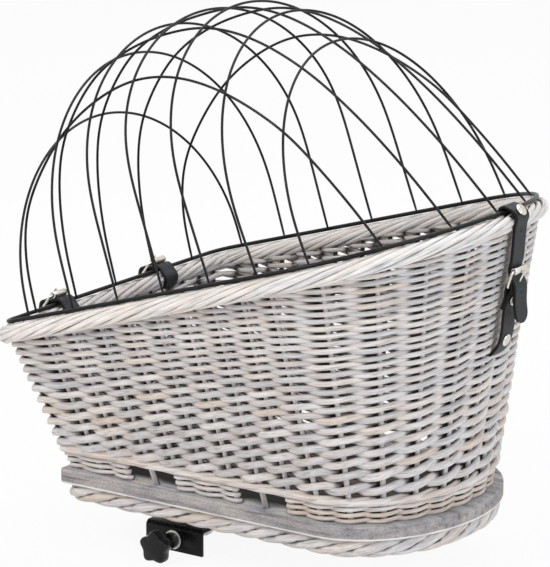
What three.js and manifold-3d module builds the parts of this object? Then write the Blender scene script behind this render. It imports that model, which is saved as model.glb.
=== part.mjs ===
// Rear carrier pet basket: a woven willow tub on a wooden base, a hinged wire dome that closes with a
// leather strap, and a screw clamp underneath that grips a bicycle's luggage carrier.
// Millimetres. +X points to the tall rounded end, -X to the hinge end, +Z up.
// The origin is the middle of the clamp's underside, where the basket sits on the carrier.
import * as THREE from 'three';
import { mergeVertices } from 'three/addons/utils/BufferGeometryUtils.js';
import Module from 'manifold-3d';

const wasm = await Module();
wasm.setup();

// Driving dimensions: clearances
const seatGap = 0.3;
const slideGap = 0.4;
const weldGap = 0.4;
const crossGap = 0.6;

// Driving dimensions: base board, foot border and clamp position
const boardLength = 343;
const boardWidth = 227;
const boardThickness = 12;
const boardEndDepth = 82;
const boardCornerRadius = 5;
const tightestBend = 4;
const boardHingeToClamp = 97;
const seatDrop = 31;
const footHeight = 16;
const footThickness = 14;
const footInset = 3;

// Driving dimensions: woven wall
const ledge = 9;
const wallThickness = 10;
const wallTopInset = 1;
const bandHeight = 15;
const slotWidth = 44;
const slotFirst = 95;
const slotSpacing = 111;
const stakeDiameter = 6;

// Driving dimensions: rim border and the lid's base ring that lies on it
const rimRise = THREE.MathUtils.degToRad(16.7);
const ringHingeOverhang = 27.7;
const ringHingeHeight = 143;
const ringLength = 408.5;
const ringWidth = 310;
const ringEndDepth = 125;
const ringCornerRadius = 18;
const ringWire = 4.2;
const rimHeight = 16;
const rimThickness = 20;

// Driving dimensions: wire dome
const hoopWire = 2.6;
const hoopFootDip = 1.5;
const crossHoopCount = 7;
const crossHoopFirst = 30;
const crossHoopPitch = 48;
const middleHoopLegShare = 0.45;
const outerHoopLegShare = 0.06;
const lastCrossHoopLean = THREE.MathUtils.degToRad(9.5);
const longHoopCount = 5;
const longHoopPitch = 55.24;
const domeHeight = 212;
const domePeak = 188;
const domeHingeFullness = 2.65;
const domeEndFullness = 1.92;

// Driving dimensions: leather straps, buckles and rivets
const strapWidth = 18;
const strapThickness = 2.2;
const buckleWire = 2.6;
const buckleReach = 14.5;
const buckleCorner = 2.5;
const rollerDiameter = 6;
const tongueWire = 2;
const rivetCap = 10.5;
const rivetCapHeight = 1.8;
const rivetShank = 3.4;
const hingeBuckleDip = THREE.MathUtils.degToRad(52.6);
const hingeStrapRise = 0.6;
const hingeBuckleBesideHoop = 1;
const closingStrapBesideHoop = 0.7;
const closingRollerDrop = 47.5;
const closingBuckleStandoff = 14.5;
const closingBuckleTilt = THREE.MathUtils.degToRad(17);
const closingTail = 26;
const rivetBelowBar = 11;
const lowerRivetBelowBar = 46;
const lowerRivetOff = 9.3;
const anchorBelowBar = 62;
const anchorTurnDown = 14;

// Driving dimensions: clamp
const clampWidth = 58;
const clampOpening = 160;
const clampPlate = 2.5;
const clampDrop = 20;
const clampBendRadius = 2;
const blockLength = 128;
const blockWidth = 50;
const screwDiameter = 4;
const screwHead = 8;
const screwHeadHeight = 2.2;
const boardScrewGrip = 14;
const clampScrewGrip = 14;
const screwSpacingX = 32;
const screwSpacingY = 96;
const boardScrewSpacingX = 19;
const boardScrewSpacingY = 58;
const studDiameter = 8;
const studDrop = 9.5;
const studReach = 42;
const nutWidth = 13;
const nutHeight = 6.5;
const padDiameter = 16;
const padThickness = 5;
const washerDiameter = 16.5;
const washerThickness = 1.8;
const knobDiameter = 29;
const knobLobes = 5;
const knobLobeDepth = 3.2;
const knobHeadLength = 11;
const knobCollarDiameter = 14;
const knobCollarLength = 17;
const knobEdge = 2.5;
const knobRibs = 16;
const knobRibDepth = 0.7;

// Facet counts
const straightSteps = 5;
const endSteps = 18;
const cornerSteps = 4;
const hoopSides = 6;
const hoopSteps = 24;

// Derived levels and places
const boardBottom = seatDrop;
const boardTop = boardBottom + boardThickness;
const boardHinge = -boardHingeToClamp;
const ringHinge = boardHinge - ringHingeOverhang;
const ringHingeZ = boardBottom + ringHingeHeight;
const rimTopDrop = ringWire / 2 + seatGap;
const rimMiddleDrop = rimTopDrop + rimHeight / 2;
const wallTopDrop = rimTopDrop + rimHeight + seatGap;
const wallBottom = boardTop + seatGap + bandHeight + seatGap;
const hoopFootInset = (ringWire + hoopWire) / 2 + weldGap;
const buckleInside = strapWidth + 4 * slideGap;
const buckleHalfWidth = buckleInside / 2 + buckleWire;
const hingeStrapY = longHoopPitch + hoopWire / 2 + hingeBuckleBesideHoop + buckleHalfWidth;
const closingStrapY = (hoopWire + strapWidth) / 2 + closingStrapBesideHoop;

// Materials
const willow = new THREE.MeshStandardMaterial({ color: 0xb9b2a8, roughness: 0.8, metalness: 0 });
const plywood = new THREE.MeshStandardMaterial({ color: 0x8d857b, roughness: 0.75, metalness: 0 });
const blackWire = new THREE.MeshStandardMaterial({ color: 0x1c1c1d, roughness: 0.45, metalness: 0.2 });
const leather = new THREE.MeshStandardMaterial({ color: 0x2b2c2f, roughness: 0.55, metalness: 0 });
const brightSteel = new THREE.MeshStandardMaterial({ color: 0xd8d5cd, roughness: 0.25, metalness: 1 });
const blackSteel = new THREE.MeshStandardMaterial({ color: 0x151516, roughness: 0.5, metalness: 0.2 });
const blackPlastic = new THREE.MeshStandardMaterial({ color: 0x19191a, roughness: 0.5, metalness: 0 });
const zincSteel = new THREE.MeshStandardMaterial({ color: 0xa9aaac, roughness: 0.4, metalness: 1 });

const basket = new THREE.Group();

function addPart(name, geometry, material, parent = basket) {
  const mesh = new THREE.Mesh(geometry, material);
  mesh.name = name;
  parent.add(mesh);
  return mesh;
}

// Solids for cutting and joining
function solidOf(geometry) {
  const bare = geometry.clone();
  bare.deleteAttribute('normal');
  bare.deleteAttribute('uv');
  const merged = mergeVertices(bare, 1e-4);
  const vertProperties = new Float32Array(merged.attributes.position.array);
  const triVerts = new Uint32Array(merged.index.array);
  return new wasm.Manifold(new wasm.Mesh({ numProp: 3, vertProperties, triVerts }));
}

function geometryOf(solid) {
  const mesh = solid.getMesh();
  const geometry = new THREE.BufferGeometry();
  geometry.setAttribute('position', new THREE.Float32BufferAttribute(mesh.vertProperties, 3));
  geometry.setIndex(Array.from(mesh.triVerts));
  return geometry;
}

function cut(geometry, ...tools) {
  return geometryOf(tools.reduce((solid, tool) => solid.subtract(solidOf(tool)), solidOf(geometry)));
}

function join(first, ...others) {
  return geometryOf(others.reduce((solid, other) => solid.add(solidOf(other)), solidOf(first)));
}

function keep(geometry, tool) {
  return geometryOf(solidOf(geometry).intersect(solidOf(tool)));
}

// Basic shapes
function polygon(sides, radius) {
  const corner = (i) => (2 * Math.PI * i) / sides;
  const points = Array.from({ length: sides }, (_, i) => (
    new THREE.Vector2(radius * Math.cos(corner(i)), radius * Math.sin(corner(i)))
  ));
  return new THREE.Shape(points);
}

function boxBetween(low, high) {
  const size = new THREE.Vector3().subVectors(high, low);
  const middle = new THREE.Vector3().addVectors(low, high).multiplyScalar(0.5);
  return new THREE.BoxGeometry(size.x, size.y, size.z).translate(middle.x, middle.y, middle.z);
}

function wireAlong(points, diameter, sides, steps) {
  const path = new THREE.CatmullRomCurve3(points, false, 'centripetal');
  const section = polygon(sides, diameter / 2);
  return new THREE.ExtrudeGeometry(section, { steps, extrudePath: path, bevelEnabled: false });
}

// A closed band round a loop. Each row holds one corner of the section at every step of the loop, and
// the rows run round the section, outside going up and inside coming down.
function loopBand(rows) {
  const count = rows[0].length;
  const index = [];
  rows.forEach((row, r) => {
    const here = r * count;
    const next = ((r + 1) % rows.length) * count;
    row.forEach((_, i) => {
      const j = (i + 1) % count;
      index.push(here + i, here + j, next + j, here + i, next + j, next + i);
    });
  });
  const geometry = new THREE.BufferGeometry().setFromPoints(rows.flat());
  geometry.setIndex(index);
  return geometry;
}

// The D-shaped outline that the board, wall, rim and ring share: straight sides, an elliptical end at the
// apex and two round corners at the hinge end. A positive inset lies inside it.
const boardOutline = {
  hinge: boardHinge,
  apex: boardHinge + boardLength,
  halfWidth: boardWidth / 2,
  endDepth: boardEndDepth,
  corner: boardCornerRadius,
};
const ringOutline = {
  hinge: 0,
  apex: ringLength,
  halfWidth: ringWidth / 2,
  endDepth: ringEndDepth,
  corner: ringCornerRadius,
};

function dLoop(outline, inset, arcSteps = endSteps) {
  const half = outline.halfWidth - inset;
  const hinge = outline.hinge + inset;
  const corner = Math.max(outline.corner - inset, tightestBend);
  const depth = outline.endDepth - inset;
  const endStart = outline.apex - outline.endDepth;
  const sideStart = hinge + corner;
  const points = [];
  const add = (x, y) => points.push(new THREE.Vector2(x, y));
  for (let i = 0; i < straightSteps; i += 1) {
    add(THREE.MathUtils.lerp(sideStart, endStart, i / straightSteps), -half);
  }
  for (let i = 0; i < arcSteps; i += 1) {
    const angle = -Math.PI / 2 + (Math.PI * i) / arcSteps;
    add(endStart + depth * Math.cos(angle), half * Math.sin(angle));
  }
  for (let i = 0; i < straightSteps; i += 1) {
    add(THREE.MathUtils.lerp(endStart, sideStart, i / straightSteps), half);
  }
  for (let i = 0; i < cornerSteps; i += 1) {
    const angle = Math.PI / 2 + (Math.PI / 2) * (i / cornerSteps);
    add(sideStart + corner * Math.cos(angle), half - corner + corner * Math.sin(angle));
  }
  for (let i = 0; i < straightSteps; i += 1) {
    add(hinge, THREE.MathUtils.lerp(half - corner, corner - half, i / straightSteps));
  }
  for (let i = 0; i < cornerSteps; i += 1) {
    const angle = Math.PI + (Math.PI / 2) * (i / cornerSteps);
    add(sideStart + corner * Math.cos(angle), corner - half + corner * Math.sin(angle));
  }
  return points;
}

function levelLoop(outline, inset, z) {
  return dLoop(outline, inset).map((p) => new THREE.Vector3(p.x, p.y, z));
}

// A point of the sloping rim: s runs up the slope from the ring's hinge side, drop is straight down.
function onRim(s, y, drop) {
  const x = ringHinge + s * Math.cos(rimRise);
  const z = ringHingeZ + s * Math.sin(rimRise) - drop;
  return new THREE.Vector3(x, y, z);
}

// A point of the lid: s runs up the slope, n is square to the ring's plane.
function onLid(s, y, n) {
  const x = ringHinge + s * Math.cos(rimRise) - n * Math.sin(rimRise);
  const z = ringHingeZ + s * Math.sin(rimRise) + n * Math.cos(rimRise);
  return new THREE.Vector3(x, y, z);
}

// Straps: a ribbon that follows a line in the upright plane along X, at one place across the basket
function ribbon(line, thickness, width, y) {
  const side = (offset) => line.map((p, i) => {
    const before = line[Math.max(i - 1, 0)];
    const after = line[Math.min(i + 1, line.length - 1)];
    const along = new THREE.Vector2().subVectors(after, before).normalize();
    return new THREE.Vector2(p.x - along.y * offset, p.y + along.x * offset);
  });
  const outline = [...side(thickness / 2), ...side(-thickness / 2).reverse()];
  const shape = new THREE.Shape(outline);
  const solid = new THREE.ExtrudeGeometry(shape, { depth: width, bevelEnabled: false });
  return solid.rotateX(Math.PI / 2).translate(0, y + width / 2, 0);
}

function arc(centre, radius, from, to, steps) {
  return Array.from({ length: steps + 1 }, (_, i) => {
    const angle = THREE.MathUtils.lerp(from, to, i / steps);
    return new THREE.Vector2(centre.x + radius * Math.cos(angle), centre.y + radius * Math.sin(angle));
  });
}

function smoothLine(points, steps) {
  return new THREE.SplineCurve(points).getSpacedPoints(steps);
}

// A buckle's own frame: u runs from the roller towards the heel bar, v points away from the basket.
function buckleFrame(roller, alongU, outwardV) {
  return {
    roller,
    alongU,
    outwardV,
    at: (u, v) => roller.clone().addScaledVector(alongU, u).addScaledVector(outwardV, v),
  };
}

// Base board and foot border
function fourPlaces(spacingX, spacingY) {
  return [-1, 1].flatMap((i) => [-1, 1].map((j) => (
    new THREE.Vector2((i * spacingX) / 2, (j * spacingY) / 2)
  )));
}

const clampScrewPlaces = fourPlaces(screwSpacingX, screwSpacingY);
const boardScrewPlaces = fourPlaces(boardScrewSpacingX, boardScrewSpacingY);

function screwGeometry(clearance, length) {
  const shank = screwDiameter / 2 + clearance;
  const head = screwHead / 2 + clearance;
  const profile = [
    new THREE.Vector2(0, -length - clearance),
    new THREE.Vector2(shank, -length - clearance),
    new THREE.Vector2(shank, -screwHeadHeight),
    new THREE.Vector2(head, clearance),
    new THREE.Vector2(0, clearance),
  ];
  return new THREE.LatheGeometry(profile, 10).rotateX(Math.PI / 2);
}

const boardScrew = (place, clearance) => (
  screwGeometry(clearance, boardThickness + boardScrewGrip).translate(place.x, place.y, boardTop)
);
const clampScrew = (place, clearance) => (
  screwGeometry(clearance, clampPlate + clampScrewGrip).rotateX(Math.PI).translate(place.x, place.y, 0)
);

function baseBoard() {
  const shape = new THREE.Shape(dLoop(boardOutline, 0));
  const slab = new THREE.ExtrudeGeometry(shape, { depth: boardThickness, bevelEnabled: false });
  const tools = boardScrewPlaces.map((place) => boardScrew(place, slideGap / 2));
  return cut(slab.translate(0, 0, boardBottom), ...tools);
}

function footBorder() {
  const sides = 8;
  const middleInset = footInset + footThickness / 2;
  const middleZ = boardBottom - seatGap - footHeight / 2;
  const rows = Array.from({ length: sides }, (_, i) => {
    const angle = (2 * Math.PI * (i + 0.5)) / sides;
    const stretch = 1 / Math.cos(Math.PI / sides);
    const inset = middleInset - (footThickness / 2) * stretch * Math.cos(angle);
    return levelLoop(boardOutline, inset, middleZ + (footHeight / 2) * stretch * Math.sin(angle));
  });
  return loopBand(rows);
}

addPart('base_board', baseBoard(), plywood);
addPart('foot_border', footBorder(), willow);
boardScrewPlaces.forEach((place, i) => addPart(`board_screw_${i + 1}`, boardScrew(place, 0), zincSteel));

// Woven wall: rows of points where its outer and inner faces cross a level
function wallRow(extraInset, level) {
  const foot = levelLoop(boardOutline, ledge + extraInset, boardTop);
  const head = dLoop(ringOutline, wallTopInset + extraInset).map((p) => onRim(p.x, p.y, wallTopDrop));
  if (level === 'top') return head;
  return foot.map((p, i) => p.lerp(head[i], (level - boardTop) / (head[i].z - boardTop)));
}

function wallBand(low, high) {
  return loopBand([
    wallRow(0, low),
    wallRow(0, high),
    wallRow(wallThickness, high),
    wallRow(wallThickness, low),
  ]);
}

// Face of the wall in the middle of the rounded end
function wallFaceX(z) {
  const footX = boardOutline.apex - ledge;
  const head = onRim(ringOutline.apex - wallTopInset, 0, wallTopDrop);
  return THREE.MathUtils.lerp(footX, head.x, (z - boardTop) / (head.z - boardTop));
}

// Lower band: fine rows of weaving in four blocks, with an open slot between each pair
const slotCentres = [slotFirst, slotFirst + slotSpacing].map((d) => boardHinge + d);
const band = wallBand(boardTop + seatGap, boardTop + seatGap + bandHeight);
const bandReach = boardLength + boardWidth;

function bandBlock(fromX, toX, fromY, toY) {
  const low = new THREE.Vector3(fromX, fromY, boardTop - bandHeight);
  const high = new THREE.Vector3(toX, toY, boardTop + 3 * bandHeight);
  return keep(band, boxBetween(low, high));
}

const [slotA, slotB] = slotCentres;
const halfSlot = slotWidth / 2;
addPart('band_hinge_end', bandBlock(-bandReach, slotA - halfSlot, -bandReach, bandReach), willow);
addPart('band_near_middle', bandBlock(slotA + halfSlot, slotB - halfSlot, -bandReach, 0), willow);
addPart('band_far_middle', bandBlock(slotA + halfSlot, slotB - halfSlot, 0, bandReach), willow);
addPart('band_round_end', bandBlock(slotB + halfSlot, bandReach, -bandReach, bandReach), willow);

// One bare stake stands in the middle of each slot and leans with the wall
function slotStake(x, side) {
  const height = bandHeight;
  const headAbove = onRim((x - ringHinge) / Math.cos(rimRise), 0, wallTopDrop).z - boardTop;
  const spread = (ringWidth / 2 - wallTopInset) - (boardWidth / 2 - ledge);
  const lean = (side * spread) / headAbove;
  const stake = new THREE.CylinderGeometry(stakeDiameter / 2, stakeDiameter / 2, height, 10);
  stake.rotateX(Math.PI / 2).translate(0, 0, height / 2 + seatGap);
  stake.applyMatrix4(new THREE.Matrix4().set(1, 0, 0, 0, 0, 1, lean, 0, 0, 0, 1, 0, 0, 0, 0, 1));
  return stake.translate(x, side * (boardWidth / 2 - ledge - wallThickness / 2), boardTop);
}

slotCentres.forEach((x, i) => {
  addPart(`slot_stake_near_${i + 1}`, slotStake(x, -1), willow);
  addPart(`slot_stake_far_${i + 1}`, slotStake(x, 1), willow);
});

// Hinge straps: each loops round the rim border and the ring's hinge wire, and buckles on the outside.
// Their lines are worked out about the ring wire, with the rim section as an ellipse below it.
const ringHingeCentre = new THREE.Vector2(ringHinge, ringHingeZ);
const foldRadius = buckleWire / 2 + seatGap + strapThickness / 2;
const strapOverRoller = rollerDiameter / 2 + slideGap + strapThickness / 2;
const strapBehindRoller = strapOverRoller + slideGap;
const strapOverFold = foldRadius + strapThickness + slideGap;
const slopeAlong = new THREE.Vector2(Math.cos(rimRise), Math.sin(rimRise));

// A point near the rim's section at one end of the slope; angle 0 faces outward, 90 degrees up
function aroundRim(ringCentre, outward, degrees, clearance) {
  const angle = THREE.MathUtils.degToRad(degrees);
  const reach = (rimThickness / 2 + clearance) * Math.cos(angle) * outward;
  const rise = (rimHeight / 2 + clearance) * Math.sin(angle);
  const point = ringCentre.clone().addScaledVector(slopeAlong, reach);
  return point.add(new THREE.Vector2(0, rise - rimMiddleDrop));
}

const strapOffRim = slideGap + strapThickness / 2;
const hingeBuckleU = new THREE.Vector2(-Math.cos(hingeBuckleDip), -Math.sin(hingeBuckleDip));
const hingeBuckleV = new THREE.Vector2(hingeBuckleU.y, -hingeBuckleU.x);
const strapOverRing = ringWire / 2 + slideGap + strapThickness / 2 + hingeStrapRise;
const hingeRoller = ringHingeCentre.clone().add(new THREE.Vector2(0, strapOverRing));
hingeRoller.addScaledVector(hingeBuckleV, strapBehindRoller);
const hingeBuckle = buckleFrame(hingeRoller, hingeBuckleU, hingeBuckleV);

function hingeStrapLine() {
  const bar = hingeBuckle.at(buckleReach, 0);
  const fold = arc(bar, foldRadius, Math.PI, 0, 6);
  const rim = (degrees, extra = 0) => aroundRim(ringHingeCentre, -1, degrees, strapOffRim + extra);
  const shortLayer = [
    rim(-12, 2 * strapThickness),
    rim(20, 2 * strapThickness),
  ];
  const longLayer = [30, 0, -30, -60, -90, -120, -150, -180, -210, -230].map((degrees) => rim(degrees));
  const overRing = [
    ringHingeCentre.clone().add(new THREE.Vector2(strapOverRing * 0.9, strapOverRing * 0.83)),
    hingeBuckle.at(0, -strapBehindRoller),
  ];
  const tail = [
    hingeBuckle.at(buckleReach * 0.42, -1.2),
    hingeBuckle.at(buckleReach * 0.72, strapOverFold - 1.6),
    hingeBuckle.at(buckleReach, strapOverFold),
    rim(24, 4 * strapThickness),
    rim(0, 3.6 * strapThickness),
    rim(-24, 3.2 * strapThickness),
  ];
  const round = smoothLine([...longLayer, ...overRing, ...tail], 36);
  return [...shortLayer, ...fold, ...round];
}

const hingeStrap = (y, grow) => (
  ribbon(hingeStrapLine(), strapThickness + 2 * grow, strapWidth + 2 * grow, y)
);

// Buckle pieces, drawn in the buckle's own axes: x across, y towards the roller, z away from the basket
function buckleWireLoop() {
  const half = buckleHalfWidth - buckleWire / 2;
  const corner = buckleCorner;
  const middles = [
    [half - corner, -corner, 0],
    [corner - half, -corner, 90],
    [corner - half, corner - buckleReach, 180],
    [half - corner, corner - buckleReach, 270],
  ];
  const path = middles.flatMap(([x, y, start]) => Array.from({ length: 4 }, (_, i) => {
    const angle = THREE.MathUtils.degToRad(start + 30 * i);
    const out = new THREE.Vector2(Math.cos(angle), Math.sin(angle));
    return { at: new THREE.Vector2(x, y).addScaledVector(out, corner), out };
  }));
  const sides = 8;
  const rows = Array.from({ length: sides }, (_, k) => {
    const turn = (2 * Math.PI * k) / sides;
    return path.map(({ at, out }) => {
      const p = at.clone().addScaledVector(out, (buckleWire / 2) * Math.cos(turn));
      return new THREE.Vector3(p.x, p.y, (buckleWire / 2) * Math.sin(turn));
    });
  });
  return loopBand(rows);
}

function sleeve(bore, outside, length, sides) {
  const profile = [
    new THREE.Vector2(bore / 2, -length / 2),
    new THREE.Vector2(outside / 2, -length / 2),
    new THREE.Vector2(outside / 2, length / 2),
    new THREE.Vector2(bore / 2, length / 2),
    new THREE.Vector2(bore / 2, -length / 2),
  ];
  return new THREE.LatheGeometry(profile, sides).rotateZ(Math.PI / 2);
}

const barBore = buckleWire + 2 * seatGap;
const tongueEyeLength = 3;
const tongueEyeOutside = barBore + tongueWire;
const tongueTop = rollerDiameter / 2 + seatGap + tongueWire / 2;

function tongue() {
  const eye = sleeve(barBore, tongueEyeOutside, tongueEyeLength, 12).translate(0, -buckleReach, 0);
  const eyeMiddle = (barBore + tongueEyeOutside) / 4;
  const points = [
    new THREE.Vector3(0, -buckleReach + eyeMiddle * 0.6, eyeMiddle * 0.8),
    new THREE.Vector3(0, -buckleReach * 0.5, tongueTop * 0.75),
    new THREE.Vector3(0, -rollerDiameter * 0.3, tongueTop),
    new THREE.Vector3(0, rollerDiameter * 0.2, tongueTop),
  ];
  return join(eye, wireAlong(points, tongueWire, 8, 8));
}

function addBuckle(prefix, frame, y) {
  const group = new THREE.Group();
  const up = new THREE.Vector3(-frame.alongU.x, 0, -frame.alongU.y);
  const out = new THREE.Vector3(frame.outwardV.x, 0, frame.outwardV.y);
  const across = new THREE.Vector3().crossVectors(up, out);
  group.quaternion.setFromRotationMatrix(new THREE.Matrix4().makeBasis(across, up, out));
  group.position.set(frame.roller.x, y, frame.roller.y);
  const rollerLength = buckleInside - 2 * slideGap - 2;
  addPart(`${prefix}_buckle`, buckleWireLoop(), brightSteel, group);
  addPart(`${prefix}_roller`, sleeve(barBore, rollerDiameter, rollerLength, 14), brightSteel, group);
  addPart(`${prefix}_tongue`, tongue(), brightSteel, group);
  basket.add(group);
}

// The cut that lets the tongue pass through a strap, and its eye sit in the fold round the heel bar
function tongueSlot(frame, y, fromU, toU, fromV, toV, width) {
  const corners = [[fromU, fromV], [toU, fromV], [toU, toV], [fromU, toV]];
  const shape = new THREE.Shape(corners.map(([u, v]) => frame.at(u, v)));
  const solid = new THREE.ExtrudeGeometry(shape, { depth: width, bevelEnabled: false });
  return solid.rotateX(Math.PI / 2).translate(0, y + width / 2, 0);
}

const tongueHoleWidth = tongueWire + 2 * slideGap;
const tongueHoleStart = 1.5;
const eyeSlotWidth = tongueEyeLength + 2 * slideGap;
const eyeReach = tongueEyeOutside / 2 + slideGap;
const tongueHole = (frame, y) => (
  tongueSlot(frame, y, tongueHoleStart, buckleReach - eyeReach + 1,
    -strapOverRoller, strapOverFold + 1, tongueHoleWidth)
);
const eyeSlot = (frame, y) => (
  tongueSlot(frame, y, buckleReach - eyeReach - 1, buckleReach + eyeReach,
    -eyeReach, foldRadius + strapThickness / 2 + slideGap / 2, eyeSlotWidth)
);

const hingeSides = [['near', -hingeStrapY], ['far', hingeStrapY]];
hingeSides.forEach(([side, y]) => {
  const strap = cut(hingeStrap(y, 0), eyeSlot(hingeBuckle, y), tongueHole(hingeBuckle, y));
  addPart(`hinge_strap_${side}`, strap, leather);
  addBuckle(`hinge_${side}`, hingeBuckle, y);
});

// Closing strap: the upper strap hangs on the ring at the rounded end and passes through the buckle of
// the lower strap, which is anchored in the wall.
const closingS = ringLength - ringEndDepth * (1 - Math.sqrt(1 - (closingStrapY / (ringWidth / 2)) ** 2));
const closingRing = onLid(closingS, 0, 0);
const closingRingCentre = new THREE.Vector2(closingRing.x, closingRing.z);
const closingRollerZ = closingRing.z - closingRollerDrop;
const closingRollerX = wallFaceX(closingRollerZ) + closingBuckleStandoff;
const closingRoller = new THREE.Vector2(closingRollerX, closingRollerZ);
const closingU = new THREE.Vector2(-Math.sin(closingBuckleTilt), -Math.cos(closingBuckleTilt));
const closingV = new THREE.Vector2(-closingU.y, closingU.x);
const closingBuckle = buckleFrame(closingRoller, closingU, closingV);
const ringLoopPlay = 1.2;
const ringLoopRadius = ringWire / 2 + ringLoopPlay + strapThickness / 2;
const rimNotch = ringLoopRadius + strapThickness / 2 + slideGap;
const upperRivetAngle = 42;

function upperStrapLine() {
  const rim = (degrees, extra) => aroundRim(closingRingCentre, 1, degrees, strapOffRim + extra);
  const layer = strapThickness + 0.2;
  const under = smoothLine([
    rim(32, 0.1),
    rim(46, 0.1),
    closingRingCentre.clone().add(new THREE.Vector2(4.6, -ringLoopRadius + 0.1)),
    closingRingCentre.clone().add(new THREE.Vector2(1, -ringLoopRadius)),
  ], 8);
  const loop = arc(closingRingCentre, ringLoopRadius, (3 * Math.PI) / 2, Math.PI / 3, 10);
  const main = smoothLine([
    rim(64, layer + 0.7),
    rim(50, layer + 0.3),
    rim(36, layer + 0.2),
    rim(18, layer),
    rim(-4, 0.6),
    rim(-24, 0.4),
    closingBuckle.at(-9, -strapOverRoller - 0.6),
    closingBuckle.at(0, -strapOverRoller),
    closingBuckle.at(buckleReach * 0.42, -1),
    closingBuckle.at(buckleReach * 0.72, strapOverFold - 1.4),
    closingBuckle.at(buckleReach, strapOverFold + 0.4),
    closingBuckle.at(buckleReach + closingTail * 0.4, strapOverFold + closingTail * 0.13),
    closingBuckle.at(buckleReach + closingTail * 0.7, strapOverFold + closingTail * 0.26),
    closingBuckle.at(buckleReach + closingTail, strapOverFold + closingTail * 0.4),
  ], 36);
  return [...under, ...loop, ...main];
}

function lowerStrapLine() {
  const bar = closingBuckle.at(buckleReach, 0);
  const uAngle = Math.atan2(closingU.y, closingU.x);
  const halfLayer = strapThickness / 2 + 0.1;
  const back = smoothLine([
    closingBuckle.at(buckleReach + rivetBelowBar + 9, -halfLayer),
    closingBuckle.at(buckleReach + rivetBelowBar - 3, -halfLayer),
    closingBuckle.at(buckleReach + 4, -foldRadius * 0.85),
  ], 6);
  const fold = arc(bar, foldRadius, uAngle - Math.PI / 2, uAngle - (3 * Math.PI) / 2, 8);
  const faceX = (z, off) => new THREE.Vector2(wallFaceX(z) + off, z);
  const anchorZ = bar.y - anchorBelowBar;
  const insideWall = -wallThickness - strapOffRim - slideGap;
  const front = smoothLine([
    closingBuckle.at(buckleReach + 4, foldRadius * 0.85),
    closingBuckle.at(buckleReach + rivetBelowBar - 3, halfLayer),
    closingBuckle.at(buckleReach + rivetBelowBar + 9, halfLayer),
    faceX(bar.y - lowerRivetBelowBar + 8, lowerRivetOff + 1.1),
    faceX(bar.y - lowerRivetBelowBar - 3, lowerRivetOff - 0.7),
    faceX(anchorZ + 4, lowerRivetOff / 3),
    faceX(anchorZ - 1, -wallThickness / 2),
    faceX(anchorZ - 6, insideWall),
    faceX(anchorZ - 6 - anchorTurnDown, insideWall),
  ], 28);
  return [...back, ...fold.slice(1, -1), ...front];
}

const upperStrap = ribbon(upperStrapLine(), strapThickness, strapWidth, closingStrapY);
const lowerStrap = (grow) => (
  ribbon(lowerStrapLine(), strapThickness + 2 * grow, strapWidth + 2 * grow, closingStrapY)
);

// Rivets: a domed cap on a shank that ends in the back layer of leather
function rivet(clearance, shankLength) {
  const cap = rivetCap / 2;
  const shank = rivetShank / 2 + clearance;
  const profile = [
    new THREE.Vector2(0, -shankLength - clearance),
    new THREE.Vector2(shank, -shankLength - clearance),
    new THREE.Vector2(shank, seatGap),
    new THREE.Vector2(cap, seatGap),
    new THREE.Vector2(cap * 0.94, seatGap + rivetCapHeight * 0.45),
    new THREE.Vector2(cap * 0.66, seatGap + rivetCapHeight * 0.85),
    new THREE.Vector2(0, seatGap + rivetCapHeight),
  ];
  return new THREE.LatheGeometry(profile, 12).rotateX(Math.PI / 2);
}

// A rivet through the point at, in the plane of the straps, with its cap facing out
function rivetAt(at, out, shankLength, clearance = 0) {
  const turn = new THREE.Quaternion().setFromUnitVectors(
    new THREE.Vector3(0, 0, 1),
    new THREE.Vector3(out.x, 0, out.y),
  );
  return rivet(clearance, shankLength).applyQuaternion(turn).translate(at.x, closingStrapY, at.y);
}

const doubleLayer = 2 * strapThickness - 0.4;
const upperRivetOut = new THREE.Vector2(
  Math.cos(THREE.MathUtils.degToRad(upperRivetAngle)),
  Math.sin(THREE.MathUtils.degToRad(upperRivetAngle)),
);
const upperRivetOff = strapOffRim + strapThickness * 1.6 + slideGap;
const upperRivetAt = aroundRim(closingRingCentre, 1, upperRivetAngle, upperRivetOff);
const middleRivetAt = closingBuckle.at(buckleReach + rivetBelowBar, strapThickness + 0.1);
const lowerRivetZ = closingBuckle.at(buckleReach, 0).y - lowerRivetBelowBar;
const lowerRivetX = wallFaceX(lowerRivetZ) + lowerRivetOff + strapThickness / 2;
const lowerRivetAt = new THREE.Vector2(lowerRivetX, lowerRivetZ);
const lowerRivetOut = new THREE.Vector2(0.96, -0.28).normalize();
const rivets = {
  upper: (clearance) => rivetAt(upperRivetAt, upperRivetOut, doubleLayer, clearance),
  middle: (clearance) => rivetAt(middleRivetAt, closingV, doubleLayer, clearance),
  lower: (clearance) => rivetAt(lowerRivetAt, lowerRivetOut, strapThickness * 0.9, clearance),
};

const upperStrapCut = cut(
  upperStrap,
  tongueHole(closingBuckle, closingStrapY),
  rivets.upper(seatGap / 2),
);
addPart('closing_strap_upper', upperStrapCut, leather);
addPart('closing_rivet_upper', rivets.upper(0), brightSteel);
const lowerStrapCut = cut(
  lowerStrap(0),
  eyeSlot(closingBuckle, closingStrapY),
  rivets.middle(seatGap / 2),
  rivets.lower(seatGap / 2),
);
addPart('closing_strap_lower', lowerStrapCut, leather);
addPart('closing_rivet_middle', rivets.middle(0), brightSteel);
addPart('closing_rivet_lower', rivets.lower(0), brightSteel);
addBuckle('closing', closingBuckle, closingStrapY);

// Wall and rim, cut where the straps pass
const wallPassages = [
  ...hingeSides.map(([, y]) => hingeStrap(y, seatGap)),
  lowerStrap(seatGap),
];
addPart('wicker_wall', cut(wallBand(wallBottom, 'top'), ...wallPassages), willow);

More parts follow.
